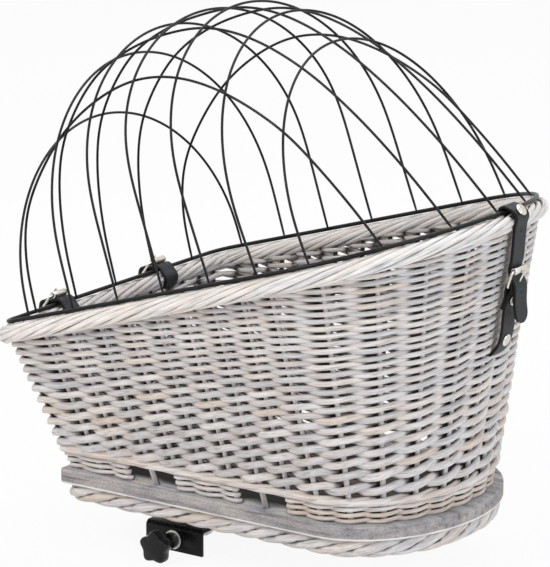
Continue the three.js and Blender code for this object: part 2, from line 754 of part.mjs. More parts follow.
function rimBorder() {
  const sides = 8;
  const rows = Array.from({ length: sides }, (_, i) => {
    const angle = (2 * Math.PI * i) / sides;
    const inset = -(rimThickness / 2) * Math.cos(angle);
    const drop = rimMiddleDrop - (rimHeight / 2) * Math.sin(angle);
    return dLoop(ringOutline, inset).map((p) => onRim(p.x, p.y, drop));
  });
  const notchHalf = strapWidth / 2 + slideGap;
  const notchMiddle = new THREE.Vector3(closingRing.x, closingStrapY, closingRing.z);
  const low = new THREE.Vector3(-rimThickness, -notchHalf, -rimNotch).add(notchMiddle);
  const high = new THREE.Vector3(rimThickness, notchHalf, rimHeight).add(notchMiddle);
  return cut(loopBand(rows), boxBetween(low, high));
}

addPart('rim_border', rimBorder(), willow);

// Lid: base ring and wire dome
function lidRing() {
  const sides = 6;
  const rows = Array.from({ length: sides }, (_, i) => {
    const angle = (2 * Math.PI * i) / sides;
    const n = (ringWire / 2) * Math.sin(angle);
    const inset = -(ringWire / 2) * Math.cos(angle);
    return dLoop(ringOutline, inset, 2 * endSteps).map((p) => onLid(p.x, p.y, n));
  });
  return loopBand(rows);
}

addPart('lid_ring', lidRing(), blackWire);

// Height of the dome over the ring's middle line
function domeCentre(s) {
  if (s <= domePeak) {
    const t = (domePeak - s) / domePeak;
    return domeHeight * (1 - t ** domeHingeFullness) ** (1 / domeHingeFullness);
  }
  const q = (s - domePeak) / (ringLength - domePeak);
  return domeHeight * (1 - q ** domeEndFullness);
}

function ringHalfWidth(s) {
  const intoEnd = Math.max(0, s - (ringLength - ringEndDepth)) / ringEndDepth;
  return (ringWidth / 2) * Math.sqrt(1 - intoEnd ** 2);
}

// Cross hoops stand on the ring's two sides; the last ones lean back towards the hinge. The middle ones rise on
// straight legs, the outer ones bend in almost from the foot
const crossHoops = Array.from({ length: crossHoopCount }, (_, i) => {
  const foot = crossHoopFirst + i * crossHoopPitch;
  const lean = lastCrossHoopLean * (i / (crossHoopCount - 1)) ** 2;
  const fromMiddle = Math.abs((2 * i) / (crossHoopCount - 1) - 1);
  let height = domeHeight;
  for (let pass = 0; pass < 30; pass += 1) {
    height = 0.5 * height + (0.5 * domeCentre(foot - height * Math.sin(lean))) / Math.cos(lean);
  }
  const halfWidth = ringHalfWidth(foot) - hoopFootInset;
  const leg = THREE.MathUtils.lerp(middleHoopLegShare, outerHoopLegShare, fromMiddle ** 1.6) * height;
  const place = (y, up) => new THREE.Vector3(foot - up * Math.sin(lean), y, up * Math.cos(lean));
  const at = (angle) => place(-halfWidth * Math.cos(angle), leg + (height - leg) * Math.sin(angle));
  return { halfWidth, leg, place, at };
});

const toLid = (p) => onLid(p.x, p.y, p.z);

crossHoops.forEach((hoop, i) => {
  const archSteps = 16;
  const leg = (side) => [-hoopFootDip, hoop.leg * 0.5].map((up) => hoop.place(side * hoop.halfWidth, up));
  const arch = Array.from({ length: archSteps + 1 }, (_, k) => hoop.at((Math.PI * k) / archSteps));
  const points = [...leg(-1), ...arch, ...leg(1).reverse()].map(toLid);
  addPart(`cross_hoop_${i + 1}`, wireAlong(points, hoopWire, hoopSides, hoopSteps), blackWire);
});

// Long hoops pass under the cross hoops, one wire's thickness inside them
function underCrossHoop(i, y, before, after) {
  const hoop = crossHoops[i];
  let reach = y;
  let point = null;
  for (let pass = 0; pass < 6; pass += 1) {
    const angle = Math.acos(THREE.MathUtils.clamp(-reach / hoop.halfWidth, -0.999, 0.999));
    const on = hoop.at(angle);
    const along = hoop.at(angle + 0.01).sub(hoop.at(angle - 0.01));
    const run = after(reach).sub(before(reach));
    const out = new THREE.Vector3().crossVectors(run, along).normalize();
    point = on.addScaledVector(out, -(hoopWire + crossGap));
    reach += y - point.y;
  }
  return point;
}

function longHoopPoints(y) {
  const hingeFoot = new THREE.Vector3(hoopFootInset, y, 0);
  const endRoot = Math.sqrt(1 - (y / (ringWidth / 2 - hoopFootInset)) ** 2);
  const endS = ringLength - ringEndDepth + (ringEndDepth - hoopFootInset) * endRoot;
  const endFoot = new THREE.Vector3(endS, y, 0);
  const onCross = (i) => (reach) => {
    const hoop = crossHoops[i];
    return hoop.at(Math.acos(THREE.MathUtils.clamp(-reach / hoop.halfWidth, -0.999, 0.999)));
  };
  const crossings = crossHoops.map((_, i) => underCrossHoop(
    i,
    y,
    i > 0 ? onCross(i - 1) : () => hingeFoot.clone(),
    i < crossHoopCount - 1 ? onCross(i + 1) : () => endFoot.clone(),
  ));
  const first = crossings[0];
  const last = crossings[crossHoopCount - 1];
  const hingeRise = (s) => {
    const t = (domePeak - s) / (domePeak - hingeFoot.x);
    return (1 - t ** domeHingeFullness) ** (1 / domeHingeFullness);
  };
  const endFall = (s) => 1 - ((s - domePeak) / (endS - domePeak)) ** domeEndFullness;
  const rising = [0.06, 0.4].map((share) => {
    const s = THREE.MathUtils.lerp(hingeFoot.x, first.x, share);
    return new THREE.Vector3(s, y, (first.z * hingeRise(s)) / hingeRise(first.x));
  });
  const falling = [0.35, 0.7].map((share) => {
    const s = THREE.MathUtils.lerp(last.x, endS, share);
    return new THREE.Vector3(s, y, (last.z * endFall(s)) / endFall(last.x));
  });
  const hingeEnd = new THREE.Vector3(hingeFoot.x, y, -hoopFootDip);
  const slope = new THREE.Vector3().subVectors(endFoot, falling[1]).normalize();
  const farEnd = endFoot.clone().addScaledVector(slope, hoopFootDip);
  return [hingeEnd, ...rising, ...crossings, ...falling, farEnd].map(toLid);
}

Array.from({ length: longHoopCount }, (_, j) => {
  const y = (j - (longHoopCount - 1) / 2) * longHoopPitch;
  const hoop = wireAlong(longHoopPoints(y), hoopWire, hoopSides, hoopSteps + 6);
  return addPart(`long_hoop_${j + 1}`, hoop, blackWire);
});

// Carrier clamp: a plate bent down at both ends, screwed to a block under the board
function clampBracket() {
  const inner = clampOpening / 2;
  const outer = inner + clampPlate;
  const outerBend = clampBendRadius + clampPlate;
  const shape = new THREE.Shape();
  shape.moveTo(inner, -clampDrop);
  shape.lineTo(outer, -clampDrop);
  shape.absarc(outer - outerBend, clampPlate - outerBend, outerBend, 0, Math.PI / 2, false);
  shape.absarc(outerBend - outer, clampPlate - outerBend, outerBend, Math.PI / 2, Math.PI, false);
  shape.lineTo(-outer, -clampDrop);
  shape.lineTo(-inner, -clampDrop);
  shape.absarc(outerBend - outer, clampPlate - outerBend, clampBendRadius, Math.PI, Math.PI / 2, true);
  shape.absarc(outer - outerBend, clampPlate - outerBend, clampBendRadius, Math.PI / 2, 0, true);
  const options = { depth: clampWidth, bevelEnabled: false, curveSegments: 4 };
  const plate = new THREE.ExtrudeGeometry(shape, options);
  plate.rotateX(Math.PI / 2).rotateZ(Math.PI / 2).translate(-clampWidth / 2, 0, 0);
  const holeRadius = studDiameter / 2 + slideGap;
  const hole = new THREE.CylinderGeometry(holeRadius, holeRadius, 4 * clampPlate, 16);
  hole.translate(0, -inner - clampPlate / 2, -studDrop);
  const tools = clampScrewPlaces.map((place) => clampScrew(place, slideGap / 2));
  return cut(plate, hole, ...tools);
}

function clampBlock() {
  const low = new THREE.Vector3(-blockWidth / 2, -blockLength / 2, clampPlate + seatGap);
  const high = new THREE.Vector3(blockWidth / 2, blockLength / 2, boardBottom - seatGap);
  const tools = [
    ...clampScrewPlaces.map((place) => clampScrew(place, slideGap / 2)),
    ...boardScrewPlaces.map((place) => boardScrew(place, slideGap / 2)),
  ];
  return cut(boxBetween(low, high), ...tools);
}

addPart('clamp_bracket', clampBracket(), blackSteel);
addPart('clamp_block', clampBlock(), plywood);
clampScrewPlaces.forEach((place, i) => addPart(`clamp_screw_${i + 1}`, clampScrew(place, 0), zincSteel));

// Clamp screw: stud, nut behind the plate, washer, star knob and pressure pad, all about one line along Y
const plateOuterY = -clampOpening / 2 - clampPlate;
const plateInnerY = -clampOpening / 2;
const collarY = plateOuterY - seatGap - washerThickness - seatGap;
const knobFrontY = collarY - knobCollarLength - knobHeadLength;
const studEndY = plateInnerY + studReach;
const knobBoreDepth = knobCollarLength + knobHeadLength * 0.5;
const studStartY = collarY - knobBoreDepth + seatGap;

const onStudLine = (geometry) => geometry.translate(0, 0, -studDrop);

function tubeAlongY(bore, outside, fromY, toY, sides) {
  const tube = sleeve(bore, outside, toY - fromY, sides).rotateZ(Math.PI / 2);
  return onStudLine(tube.translate(0, (fromY + toY) / 2, 0));
}

function rodAlongY(diameter, fromY, toY, sides) {
  const rod = new THREE.CylinderGeometry(diameter / 2, diameter / 2, toY - fromY, sides);
  return onStudLine(rod.translate(0, (fromY + toY) / 2, 0));
}

const studBore = studDiameter + 2 * seatGap;
addPart('clamp_stud', rodAlongY(studDiameter, studStartY, studEndY, 16), zincSteel);
const nutFrom = plateInnerY + seatGap;
const nutBlank = rodAlongY((nutWidth * 2) / Math.sqrt(3), nutFrom, nutFrom + nutHeight, 6);
const nutHole = rodAlongY(studBore, nutFrom - nutHeight, nutFrom + 2 * nutHeight, 16);
addPart('clamp_nut', cut(nutBlank, nutHole), zincSteel);
const washerFrom = plateOuterY - seatGap - washerThickness;
const washer = tubeAlongY(studBore, washerDiameter, washerFrom, washerFrom + washerThickness, 20);
addPart('clamp_washer', washer, zincSteel);

function starKnob() {
  const steps = knobLobes * 8;
  const points = Array.from({ length: steps }, (_, i) => {
    const angle = (2 * Math.PI * i) / steps;
    const radius = knobDiameter / 2 - knobLobeDepth * (1 - Math.cos(knobLobes * angle)) / 2;
    return new THREE.Vector2(radius * Math.sin(angle), radius * Math.cos(angle));
  });
  const bevel = knobEdge;
  const head = new THREE.ExtrudeGeometry(new THREE.Shape(points), {
    depth: knobHeadLength - 2 * bevel,
    bevelThickness: bevel,
    bevelSize: bevel,
    bevelOffset: -bevel,
    bevelSegments: 2,
  });
  head.rotateX(Math.PI / 2).translate(0, knobFrontY + knobHeadLength - bevel, 0);
  const ribPoints = Array.from({ length: knobRibs * 2 }, (_, i) => {
    const radius = knobCollarDiameter / 2 - (i % 2) * knobRibDepth;
    const angle = (Math.PI * i) / knobRibs;
    return new THREE.Vector2(radius * Math.cos(angle), radius * Math.sin(angle));
  });
  const collarOptions = { depth: knobCollarLength + bevel, bevelEnabled: false };
  const collar = new THREE.ExtrudeGeometry(new THREE.Shape(ribPoints), collarOptions);
  collar.rotateX(Math.PI / 2).translate(0, collarY, 0);
  const solid = onStudLine(join(head, collar));
  return cut(solid, rodAlongY(studBore, collarY - knobBoreDepth, collarY + knobCollarLength, 16));
}

addPart('clamp_knob', starKnob(), blackPlastic);

function pressurePad() {
  const socketDepth = padThickness * 0.6;
  const pad = rodAlongY(padDiameter, studEndY - socketDepth, studEndY - socketDepth + padThickness, 20);
  return cut(pad, rodAlongY(studBore, studEndY - 2 * padThickness, studEndY + seatGap, 16));
}

addPart('clamp_pad', pressurePad(), zincSteel);

export default basket;
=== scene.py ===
# %% [markdown]
# # A bicycle basket with a wire dome
# The basket is a willow tub woven on upright stakes, on a wooden board with a clamp underneath. A wire lid
# is hinged to its low end with two buckled straps and closes with a third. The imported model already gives
# every piece its size, place and motion. This lesson puts the looks round it: first the camera and the
# light, then the finishes, then each piece from the board up.

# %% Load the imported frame
import math

import bmesh
import bpy
import numpy as np
from mathutils import Matrix, Vector


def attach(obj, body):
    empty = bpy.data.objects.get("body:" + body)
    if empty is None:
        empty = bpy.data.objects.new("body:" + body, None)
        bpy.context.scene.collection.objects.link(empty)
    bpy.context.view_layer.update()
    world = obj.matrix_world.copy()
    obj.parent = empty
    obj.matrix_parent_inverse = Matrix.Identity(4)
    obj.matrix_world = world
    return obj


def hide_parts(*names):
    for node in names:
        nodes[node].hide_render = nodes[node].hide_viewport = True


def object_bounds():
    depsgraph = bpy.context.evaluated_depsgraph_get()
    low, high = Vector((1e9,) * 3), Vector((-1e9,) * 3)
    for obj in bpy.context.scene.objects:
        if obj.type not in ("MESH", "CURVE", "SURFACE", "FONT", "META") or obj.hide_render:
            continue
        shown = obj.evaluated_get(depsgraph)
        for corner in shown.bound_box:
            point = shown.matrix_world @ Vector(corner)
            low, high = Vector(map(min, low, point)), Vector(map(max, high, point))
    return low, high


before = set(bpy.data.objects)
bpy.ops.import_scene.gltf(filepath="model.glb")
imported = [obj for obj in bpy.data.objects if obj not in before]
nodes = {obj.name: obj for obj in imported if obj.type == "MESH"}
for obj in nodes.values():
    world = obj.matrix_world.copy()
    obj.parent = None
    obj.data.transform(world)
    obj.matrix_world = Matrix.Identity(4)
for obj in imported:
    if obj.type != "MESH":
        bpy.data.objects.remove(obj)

MM = 0.001
scene = bpy.context.scene
cad_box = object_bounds()
print("CAD box:", [[round(v, 4) for v in corner] for corner in cad_box], "nodes:", len(nodes))

# %% [markdown]
# ## Camera
# The photograph was taken from far away with a long lens, a little above the rim. A camera can be set by
# eye or by solving for the vanishing directions. The distance, angle and lens here come from such a
# solution, so edges of the model fall on the same pixels as in the picture. Width is left to follow from
# the height, by the vertical sensor fit.

# %% Camera at the photograph's viewing angle
LENS, SENSOR = 249.94, 36
CAMERA_PLACE = Vector((1.86907, -2.60238, 1.01894))
AIMED_AT = Vector((0.04551, 0, 0.20067))
camera_data = bpy.data.cameras.new("long_lens")
camera_data.sensor_fit = "VERTICAL"
camera_data.sensor_height, camera_data.lens = SENSOR, LENS
camera = bpy.data.objects.new("camera", camera_data)
scene.collection.objects.link(camera)
camera.location = CAMERA_PLACE
aim = AIMED_AT - camera.location
camera.rotation_euler = aim.to_track_quat("-Z", "Y").to_euler()
scene.camera = camera
print("camera to object:", round(aim.length, 3), "m")

# %% [markdown]
# ## Node helpers
# A material is a small graph of nodes. Written out node by node it hides its own idea, so a helper makes a
# node with its settings and links, and short ones on top of it say what is meant: a ramp, a blend, a bit of
# arithmetic. A number that is the same all over goes straight on the shader's socket.

# %% Helpers for node graphs
def add_node(tree, kind, links=None, **settings):
    made = tree.nodes.new(kind)
    for key, value in settings.items():
        if key in made.inputs:
            made.inputs[key].default_value = value
        else:
            setattr(made, key, value)
    for socket, source in (links or {}).items():
        tree.links.new(source, made.inputs[socket])
    return made


def new_finish(name, rough=0.5, metal=0.0, shine=0.5):
    finish = bpy.data.materials.new(name)
    finish.use_nodes = True
    shader = finish.node_tree.nodes["Principled BSDF"]
    shader.inputs["Roughness"].default_value = rough
    shader.inputs["Metallic"].default_value = metal
    shader.inputs["Specular IOR Level"].default_value = shine
    return finish, finish.node_tree, shader


def srgb(red, green, blue):
    """A colour as read off a screen, made linear for the shader."""
    def linear(v):
        v = v / 255
        return v / 12.92 if v <= 0.04045 else ((v + 0.055) / 1.055) ** 2.4
    return (linear(red), linear(green), linear(blue), 1.0)


print("helpers for nodes and finishes ready")


# %% Ramps, blends and sums
def ramp(tree, source, stops):
    made = add_node(tree, "ShaderNodeValToRGB", {"Fac": source})
    band = made.color_ramp
    while len(band.elements) < len(stops):
        band.elements.new(0.5)
    for element, (place, colour) in zip(band.elements, stops):
        element.position, element.color = place, colour
    return made.outputs["Color"]


def grey(value):
    return (value, value, value, 1.0)


def blend_colours(tree, factor, first, second, mode="MIX"):
    made = tree.nodes.new("ShaderNodeMix")
    made.data_type, made.blend_type = "RGBA", mode
    for socket, source in ((0, factor), (6, first), (7, second)):
        if hasattr(source, "is_linked"):
            tree.links.new(source, made.inputs[socket])
        else:
            made.inputs[socket].default_value = source
    return made.outputs[2]


def maths(tree, operation, *values, clamp=False):
    made = tree.nodes.new("ShaderNodeMath")
    made.operation, made.use_clamp = operation, clamp
    for socket, value in enumerate(values):
        if hasattr(value, "is_linked"):
            tree.links.new(value, made.inputs[socket])
        else:
            made.inputs[socket].default_value = value
    return made.outputs[0]


def slant(tree, along, across):
    """The straight distance over two level ones."""
    squares = [maths(tree, "POWER", value, 2.0) for value in (along, across)]
    return maths(tree, "SQRT", maths(tree, "ADD", *squares))


def frayed(tree, value, patches, size):
    """A smooth value shifted by patches, so that an edge of painted shade ends in a ragged line."""
    shift = maths(tree, "MULTIPLY", maths(tree, "SUBTRACT", patches, 0.5), size)
    return maths(tree, "ADD", value, shift)


print("helpers for colours and sums ready")


# %% Noise and bumps
def noise(tree, vector, scale=1.0, detail=3.0, roughness=0.55):
    settings = dict(Scale=scale, Detail=detail, Roughness=roughness)
    return add_node(tree, "ShaderNodeTexNoise", {"Vector": vector}, **settings).outputs["Fac"]


def stretched(tree, vector, scale):
    return add_node(tree, "ShaderNodeMapping", {"Vector": vector}, Scale=scale).outputs["Vector"]


def bump(tree, shader, height, distance, strength=1.0):
    made = add_node(tree, "ShaderNodeBump", {"Height": height}, Distance=distance, Strength=strength)
    tree.links.new(made.outputs["Normal"], shader.inputs["Normal"])


def object_place(tree):
    return tree.nodes.new("ShaderNodeTexCoord").outputs["Object"]


print("helpers for patterns ready")

# %% [markdown]
# ## Light and floor
# The picture is a studio shot on white. One way is a bright world, but that flattens the weave. Here the
# world is kept dim and softboxes do the rest: a large one beside the camera, a cooler one that lifts the
# rounded end, and one above. The camera and shiny surfaces see plain white, by a switch on the kind of ray,
# so the white paper adds no light to the weave.

# %% World
def seen_directly(tree):
    path = tree.nodes.new("ShaderNodeLightPath").outputs
    mirrored = maths(tree, "MAXIMUM", path["Is Glossy Ray"], path["Is Transmission Ray"])
    return maths(tree, "MAXIMUM", path["Is Camera Ray"], mirrored)


world = bpy.data.worlds.new("studio")
scene.world = world
world.use_nodes = True
sky = world.node_tree
sky.nodes.clear()
room_light = add_node(sky, "ShaderNodeBackground", Color=(1.0, 0.99, 0.98, 1), Strength=0.5)
white_card = add_node(sky, "ShaderNodeBackground", Color=grey(1.0), Strength=1.0)
either = {0: seen_directly(sky), 1: room_light.outputs[0], 2: white_card.outputs[0]}
choose = add_node(sky, "ShaderNodeMixShader", either)
add_node(sky, "ShaderNodeOutputWorld", {"Surface": choose.outputs[0]})
print("world:", world.name)

# %% Softboxes
LIT_MIDDLE = Vector((0.06, 0, 0.2))


def softbox(name, place, width, watts, colour=(1.0, 1.0, 1.0)):
    lamp = bpy.data.lights.new(name, "AREA")
    lamp.size, lamp.energy, lamp.color = width, watts, colour
    holder = bpy.data.objects.new(name, lamp)
    scene.collection.objects.link(holder)
    holder.location = place
    holder.rotation_euler = (LIT_MIDDLE - holder.location).to_track_quat("-Z", "Y").to_euler()


softbox("key_softbox", (-0.7, -2.5, 2.3), width=1.3, watts=44)
softbox("side_softbox", (2.9, -0.6, 1.3), width=1.4, watts=30, colour=(0.8, 0.9, 1.0))
softbox("top_softbox", (0.2, 0.9, 2.6), width=1.6, watts=24)
print("lights:", len(bpy.data.lights))

# %% Studio floor
STUDIO_HALF_SIZE, STUDIO_BELOW = 9, 0.001
floor_finish, tree, shader = new_finish("studio_floor", rough=0.9)
shade = noise(tree, object_place(tree), scale=3.0)
tree.links.new(ramp(tree, shade, [(0.3, grey(0.86)), (0.7, grey(0.9))]), shader.inputs["Base Color"])
paper = add_node(tree, "ShaderNodeEmission", Color=grey(1.0), Strength=1.0)
show = maths(tree, "MULTIPLY", seen_directly(tree), 0.92)
mixed = add_node(tree, "ShaderNodeMixShader", {0: show, 1: shader.outputs[0], 2: paper.outputs[0]})
tree.links.new(mixed.outputs[0], tree.nodes["Material Output"].inputs["Surface"])

work = bmesh.new()
bmesh.ops.create_grid(work, x_segments=2, y_segments=2, size=STUDIO_HALF_SIZE)
floor_mesh = bpy.data.meshes.new("floor")
work.to_mesh(floor_mesh)
work.free()
floor_mesh.transform(Matrix.Translation((0, 0, cad_box[0][2] - STUDIO_BELOW)))
floor_mesh.materials.append(floor_finish)
floor = bpy.data.objects.new("floor", floor_mesh)
scene.collection.objects.link(floor)
scene.view_settings.view_transform = "Standard"
print("floor at z", round(cad_box[0][2] - STUDIO_BELOW, 4))

# %% [markdown]
# ## Willow finish
# The rods are peeled willow, washed with a thin grey-white paint that has rubbed off in places and lets
# warm wood through. A picture texture could show that, but every rod runs its own way. Each rod piece
# therefore carries attributes: how far along and across its rod a point lies, and a tint of its own. Noise
# that is stretched along the rod gives the grain, a coarser one the rubbed patches. Shade is painted in as
# well: a third attribute marks how open a point lies, and closed ones, the sides that face into the weave,
# are painted near black as painted shade. Inside the tub the painted shade also deepens towards the board.

# %% Willow for the weave and for the borders
# Painted shade: the near-black colour of rods deep in the weave and low down on the inner wall.
RECESS_SHADE = srgb(48, 43, 41)


def willow(name, tints, bare_wood_and_shade, bare_share):
    finish, tree, shader = new_finish(name, rough=0.78, shine=0.3)
    place = add_node(tree, "ShaderNodeAttribute", attribute_name="rod_place").outputs["Vector"]
    tint = add_node(tree, "ShaderNodeAttribute", attribute_name="rod_tint").outputs["Fac"]
    light_reach = add_node(tree, "ShaderNodeAttribute", attribute_name="rod_light_reach").outputs["Fac"]
    grain = noise(tree, stretched(tree, place, (38, 900, 900)), detail=4)
    patches = noise(tree, stretched(tree, place, (24, 140, 140)), detail=2)
    wash = ramp(tree, tint, tints)
    rubbed = ramp(tree, patches, [(0.46, grey(0.0)), (0.68, grey(bare_share))])
    painted = blend_colours(tree, rubbed, wash, bare_wood_and_shade)
    streaks = ramp(tree, grain, [(0.28, grey(0.52)), (0.42, grey(0.86)), (0.58, grey(1.03)),
                                 (0.75, grey(1.16))])
    colour = blend_colours(tree, 1.0, painted, streaks, "MULTIPLY")
    # Painted shade: where the openness mark is low, the rod's colour goes to the near-black recess shade.
    lit_share = ramp(tree, frayed(tree, light_reach, patches, 0.5), [(0.14, grey(0.0)), (0.78, grey(1.0))])
    tree.links.new(blend_colours(tree, lit_share, RECESS_SHADE, colour), shader.inputs["Base Color"])
    bump(tree, shader, grain, distance=0.0005, strength=0.6)
    return finish


WEAVE_TINTS = [(0.0, srgb(200, 196, 196)), (0.3, srgb(213, 209, 209)), (0.6, srgb(222, 217, 216)),
               (0.85, srgb(228, 222, 219)), (0.95, srgb(226, 215, 207)), (1.0, srgb(219, 204, 192))]
BORDER_TINTS = [(0.0, srgb(222, 218, 217)), (0.5, srgb(240, 236, 234)), (1.0, srgb(243, 235, 228))]
weave_willow = willow("washed_willow", WEAVE_TINTS, bare_wood_and_shade=srgb(216, 200, 188), bare_share=0.55)
border_willow = willow("pale_border_willow", BORDER_TINTS, bare_wood_and_shade=srgb(230, 213, 198), bare_share=0.45)
print("willow finishes:", weave_willow.name, border_willow.name)

# %% [markdown]
# ## Outline and wall lines
# Board, wall, rim and lid ring all share one D: straight sides, an elliptical round end and two hinge
# corners. The wall is a ruled surface between the board's outline and the sloping rim's, so a stake is
# simply a straight line between two matching points. A woven wall bellies a little, so its line is let out
# at the hinge corners on the board and under the round end of the rim. Giving every point a stake number
# makes a weaver's path easy to write: whole numbers are stakes.

# %% The D outline
BOARD = dict(hinge=-97.0, apex=246.0, half_width=113.5, end_depth=82.0, corner=5.0)
RING = dict(hinge=0.0, apex=408.5, half_width=155.0, end_depth=125.0, corner=18.0)
BOARD_LOW, BOARD_TOP = 31.0, 43.0
TIGHTEST_BEND = 4.0
SIDE_POINTS, END_POINTS, BEND_POINTS, HINGE_POINTS = 60, 96, 16, 48
RIM_RISE = math.radians(16.7)
RING_START = (-124.7, 174.0)


def d_outline(shape, inset=0.0):
    """Millimetres, starting on the near side and running towards the round end."""
    def share(count):
        return np.linspace(0, 1, count, endpoint=False)
    half, bend = shape["half_width"] - inset, max(shape["corner"] - inset, TIGHTEST_BEND)
    start, end = shape["hinge"] + inset + bend, shape["apex"] - shape["end_depth"]
    swing = np.radians(-90 + 180 * share(END_POINTS))
    far_bend = np.radians(90 + 90 * share(BEND_POINTS))
    near_bend = np.radians(180 + 90 * share(BEND_POINTS))
    side = start + (end - start) * share(SIDE_POINTS)
    x = [side, end + (shape["end_depth"] - inset) * np.cos(swing),
         start + end - side, start + bend * np.cos(far_bend),
         np.full(HINGE_POINTS, shape["hinge"] + inset), start + bend * np.cos(near_bend)]
    y = [np.full(SIDE_POINTS, -half), half * np.sin(swing),
         np.full(SIDE_POINTS, half), half - bend + bend * np.sin(far_bend),
         (half - bend) * (1 - 2 * share(HINGE_POINTS)), bend - half + bend * np.sin(near_bend)]
    return np.column_stack([np.concatenate(x), np.concatenate(y)])


def on_rim(flat, drop):
    """Points of the sloping rim: x runs up the slope, drop is straight down."""
    x = RING_START[0] + flat[:, 0] * math.cos(RIM_RISE)
    z = RING_START[1] + flat[:, 0] * math.sin(RIM_RISE) - drop
    return np.column_stack([x, flat[:, 1], z])


def outward(loop):
    run = np.roll(loop[:, :2], -1, axis=0) - np.roll(loop[:, :2], 1, axis=0)
    normal = np.column_stack([run[:, 1], -run[:, 0]])
    return normal / np.linalg.norm(normal, axis=1)[:, None]


def lengths_round(loop):
    steps = np.linalg.norm(np.roll(loop, -1, axis=0) - loop, axis=1)
    return np.concatenate([[0], np.cumsum(steps)])


print("board outline:", len(d_outline(BOARD)), "points")

# %% Foot and head of the wall
WALL_MIDDLE, RIM_TO_WALL_TOP = 5.0, 18.7
WALL_IN_FROM_BOARD, WALL_IN_FROM_RING = 9.0, 1.0
OUT_AT_HINGE, OUT_AT_SIDES, OUT_AT_END = 6.0, 3.0, 5.0
foot_shape = dict(BOARD, hinge=BOARD["hinge"] - OUT_AT_HINGE, half_width=BOARD["half_width"] + OUT_AT_SIDES)
head_shape = dict(RING, apex=RING["apex"] + OUT_AT_END, end_depth=RING["end_depth"] + OUT_AT_END)
foot_ring = d_outline(foot_shape, WALL_IN_FROM_BOARD + WALL_MIDDLE)
wall_foot = np.column_stack([foot_ring, np.full(len(foot_ring), BOARD_TOP)])
wall_head = on_rim(d_outline(head_shape, WALL_IN_FROM_RING + WALL_MIDDLE), RIM_TO_WALL_TOP)
wall_out = (outward(wall_foot) + outward(wall_head)) / 2
loop_lengths = lengths_round((wall_foot + wall_head) / 2)
loop_length = loop_lengths[-1]
print("loop of", round(loop_length), "mm half way up")

# %% Where the stakes stand
STAKE_SPACING, SLOT_STAKE_X = 27.75, -2.0
END_STAKES, HINGE_STAKES = 9, 7
side_x = SLOT_STAKE_X + STAKE_SPACING * np.arange(-2, 7)
side_stakes = np.interp(side_x, wall_foot[:SIDE_POINTS + 1, 0], loop_lengths[:SIDE_POINTS + 1])
far_stakes = 2 * loop_lengths[SIDE_POINTS + END_POINTS // 2] - side_stakes[::-1]
first_again = loop_length + side_stakes[0]
end_stakes = np.linspace(side_stakes[-1], far_stakes[0], END_STAKES + 2)[1:-1]
hinge_stakes = np.linspace(far_stakes[-1], first_again, HINGE_STAKES + 2)[1:-1]
stake_lengths = np.concatenate([side_stakes, end_stakes, far_stakes, hinge_stakes, [first_again]])
STAKES = len(stake_lengths) - 1
APEX_STAKE = len(side_stakes) + END_STAKES // 2
HINGE_STAKE = -(HINGE_STAKES + 1) // 2
print(STAKES, "stakes, the round end at", APEX_STAKE, "and the hinge side at", HINGE_STAKE)


# %% Places on the wall by stake number
def round_wall(loop, stake):
    """What a loop of the wall holds at a stake number."""
    place = np.interp(np.mod(stake, STAKES), np.arange(STAKES + 1), stake_lengths)
    columns = [np.interp(place, loop_lengths[:-1], column, period=loop_length) for column in loop.T]
    return np.column_stack(columns)


def wall_point(stake, height, out=0.0):
    foot, head = round_wall(wall_foot, stake), round_wall(wall_head, stake)
    share = ((height - BOARD_TOP) / (head[:, 2] - BOARD_TOP))[:, None]
    point = foot + share * (head - foot)
    normal = round_wall(wall_out, stake)
    point[:, :2] += normal * np.reshape(out, (-1, 1))
    return point


def wall_way(stake):
    """The outward direction of the wall, level."""
    return np.column_stack([round_wall(wall_out, stake), np.zeros(len(stake))])


def wall_top(stake):
    return round_wall(wall_head, stake)[:, 2]


print("wall top at the round end:", wall_top(np.array([float(APEX_STAKE)])).round(1), "mm")

# %% [markdown]
# ## Rods
# A rod is a tube along a line. Blender's curve object makes tubes with a thickness at every point, which
# suits rods that taper, and one curve can hold hundreds of them. The curve is turned into a mesh so that
# the finish can be told, point by point, where on its rod it is. Weavers are pressed flat against the
# stakes, so a rod may be made taller than thick.

# %% Pieces and their finishes
def show_piece(name, mesh, finish, body, slot, *stands_for):
    mesh.materials.clear()
    mesh.materials.append(finish)
    piece = bpy.data.objects.new(name, mesh)
    scene.collection.objects.link(piece)
    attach(piece, body)
    if stands_for:
        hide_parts(*stands_for)
    return piece


def refinish(node, finish):
    """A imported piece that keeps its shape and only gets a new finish."""
    nodes[node].data.materials.clear()
    nodes[node].data.materials.append(finish)


print("packed pieces to dress:", len(nodes))


# %% Tubes along lines
def rod(points, radius, tint, out_way, depth, closed=False):
    """out_way points out of the weave, depth is how far out the rod's middle lies. Turns mm into metres."""
    count = len(points)
    return dict(points=np.asarray(points) * MM, radius=np.broadcast_to(radius, count) * MM,
                tint=np.broadcast_to(tint, count), out_way=out_way,
                depth=np.broadcast_to(depth, count) * MM, closed=closed)


def add_line(curve, points, closed):
    spline = curve.splines.new("POLY")
    spline.points.add(len(points) - 1)
    spline.points.foreach_set("co", np.column_stack([points, np.ones(len(points))]).ravel())
    spline.use_cyclic_u = closed
    return spline


def mesh_of(name, curve):
    """Turn a curve into a mesh and drop the curve."""
    holder = bpy.data.objects.new(name, curve)
    mesh = bpy.data.meshes.new_from_object(holder)
    bpy.data.objects.remove(holder)
    bpy.data.curves.remove(curve)
    return mesh


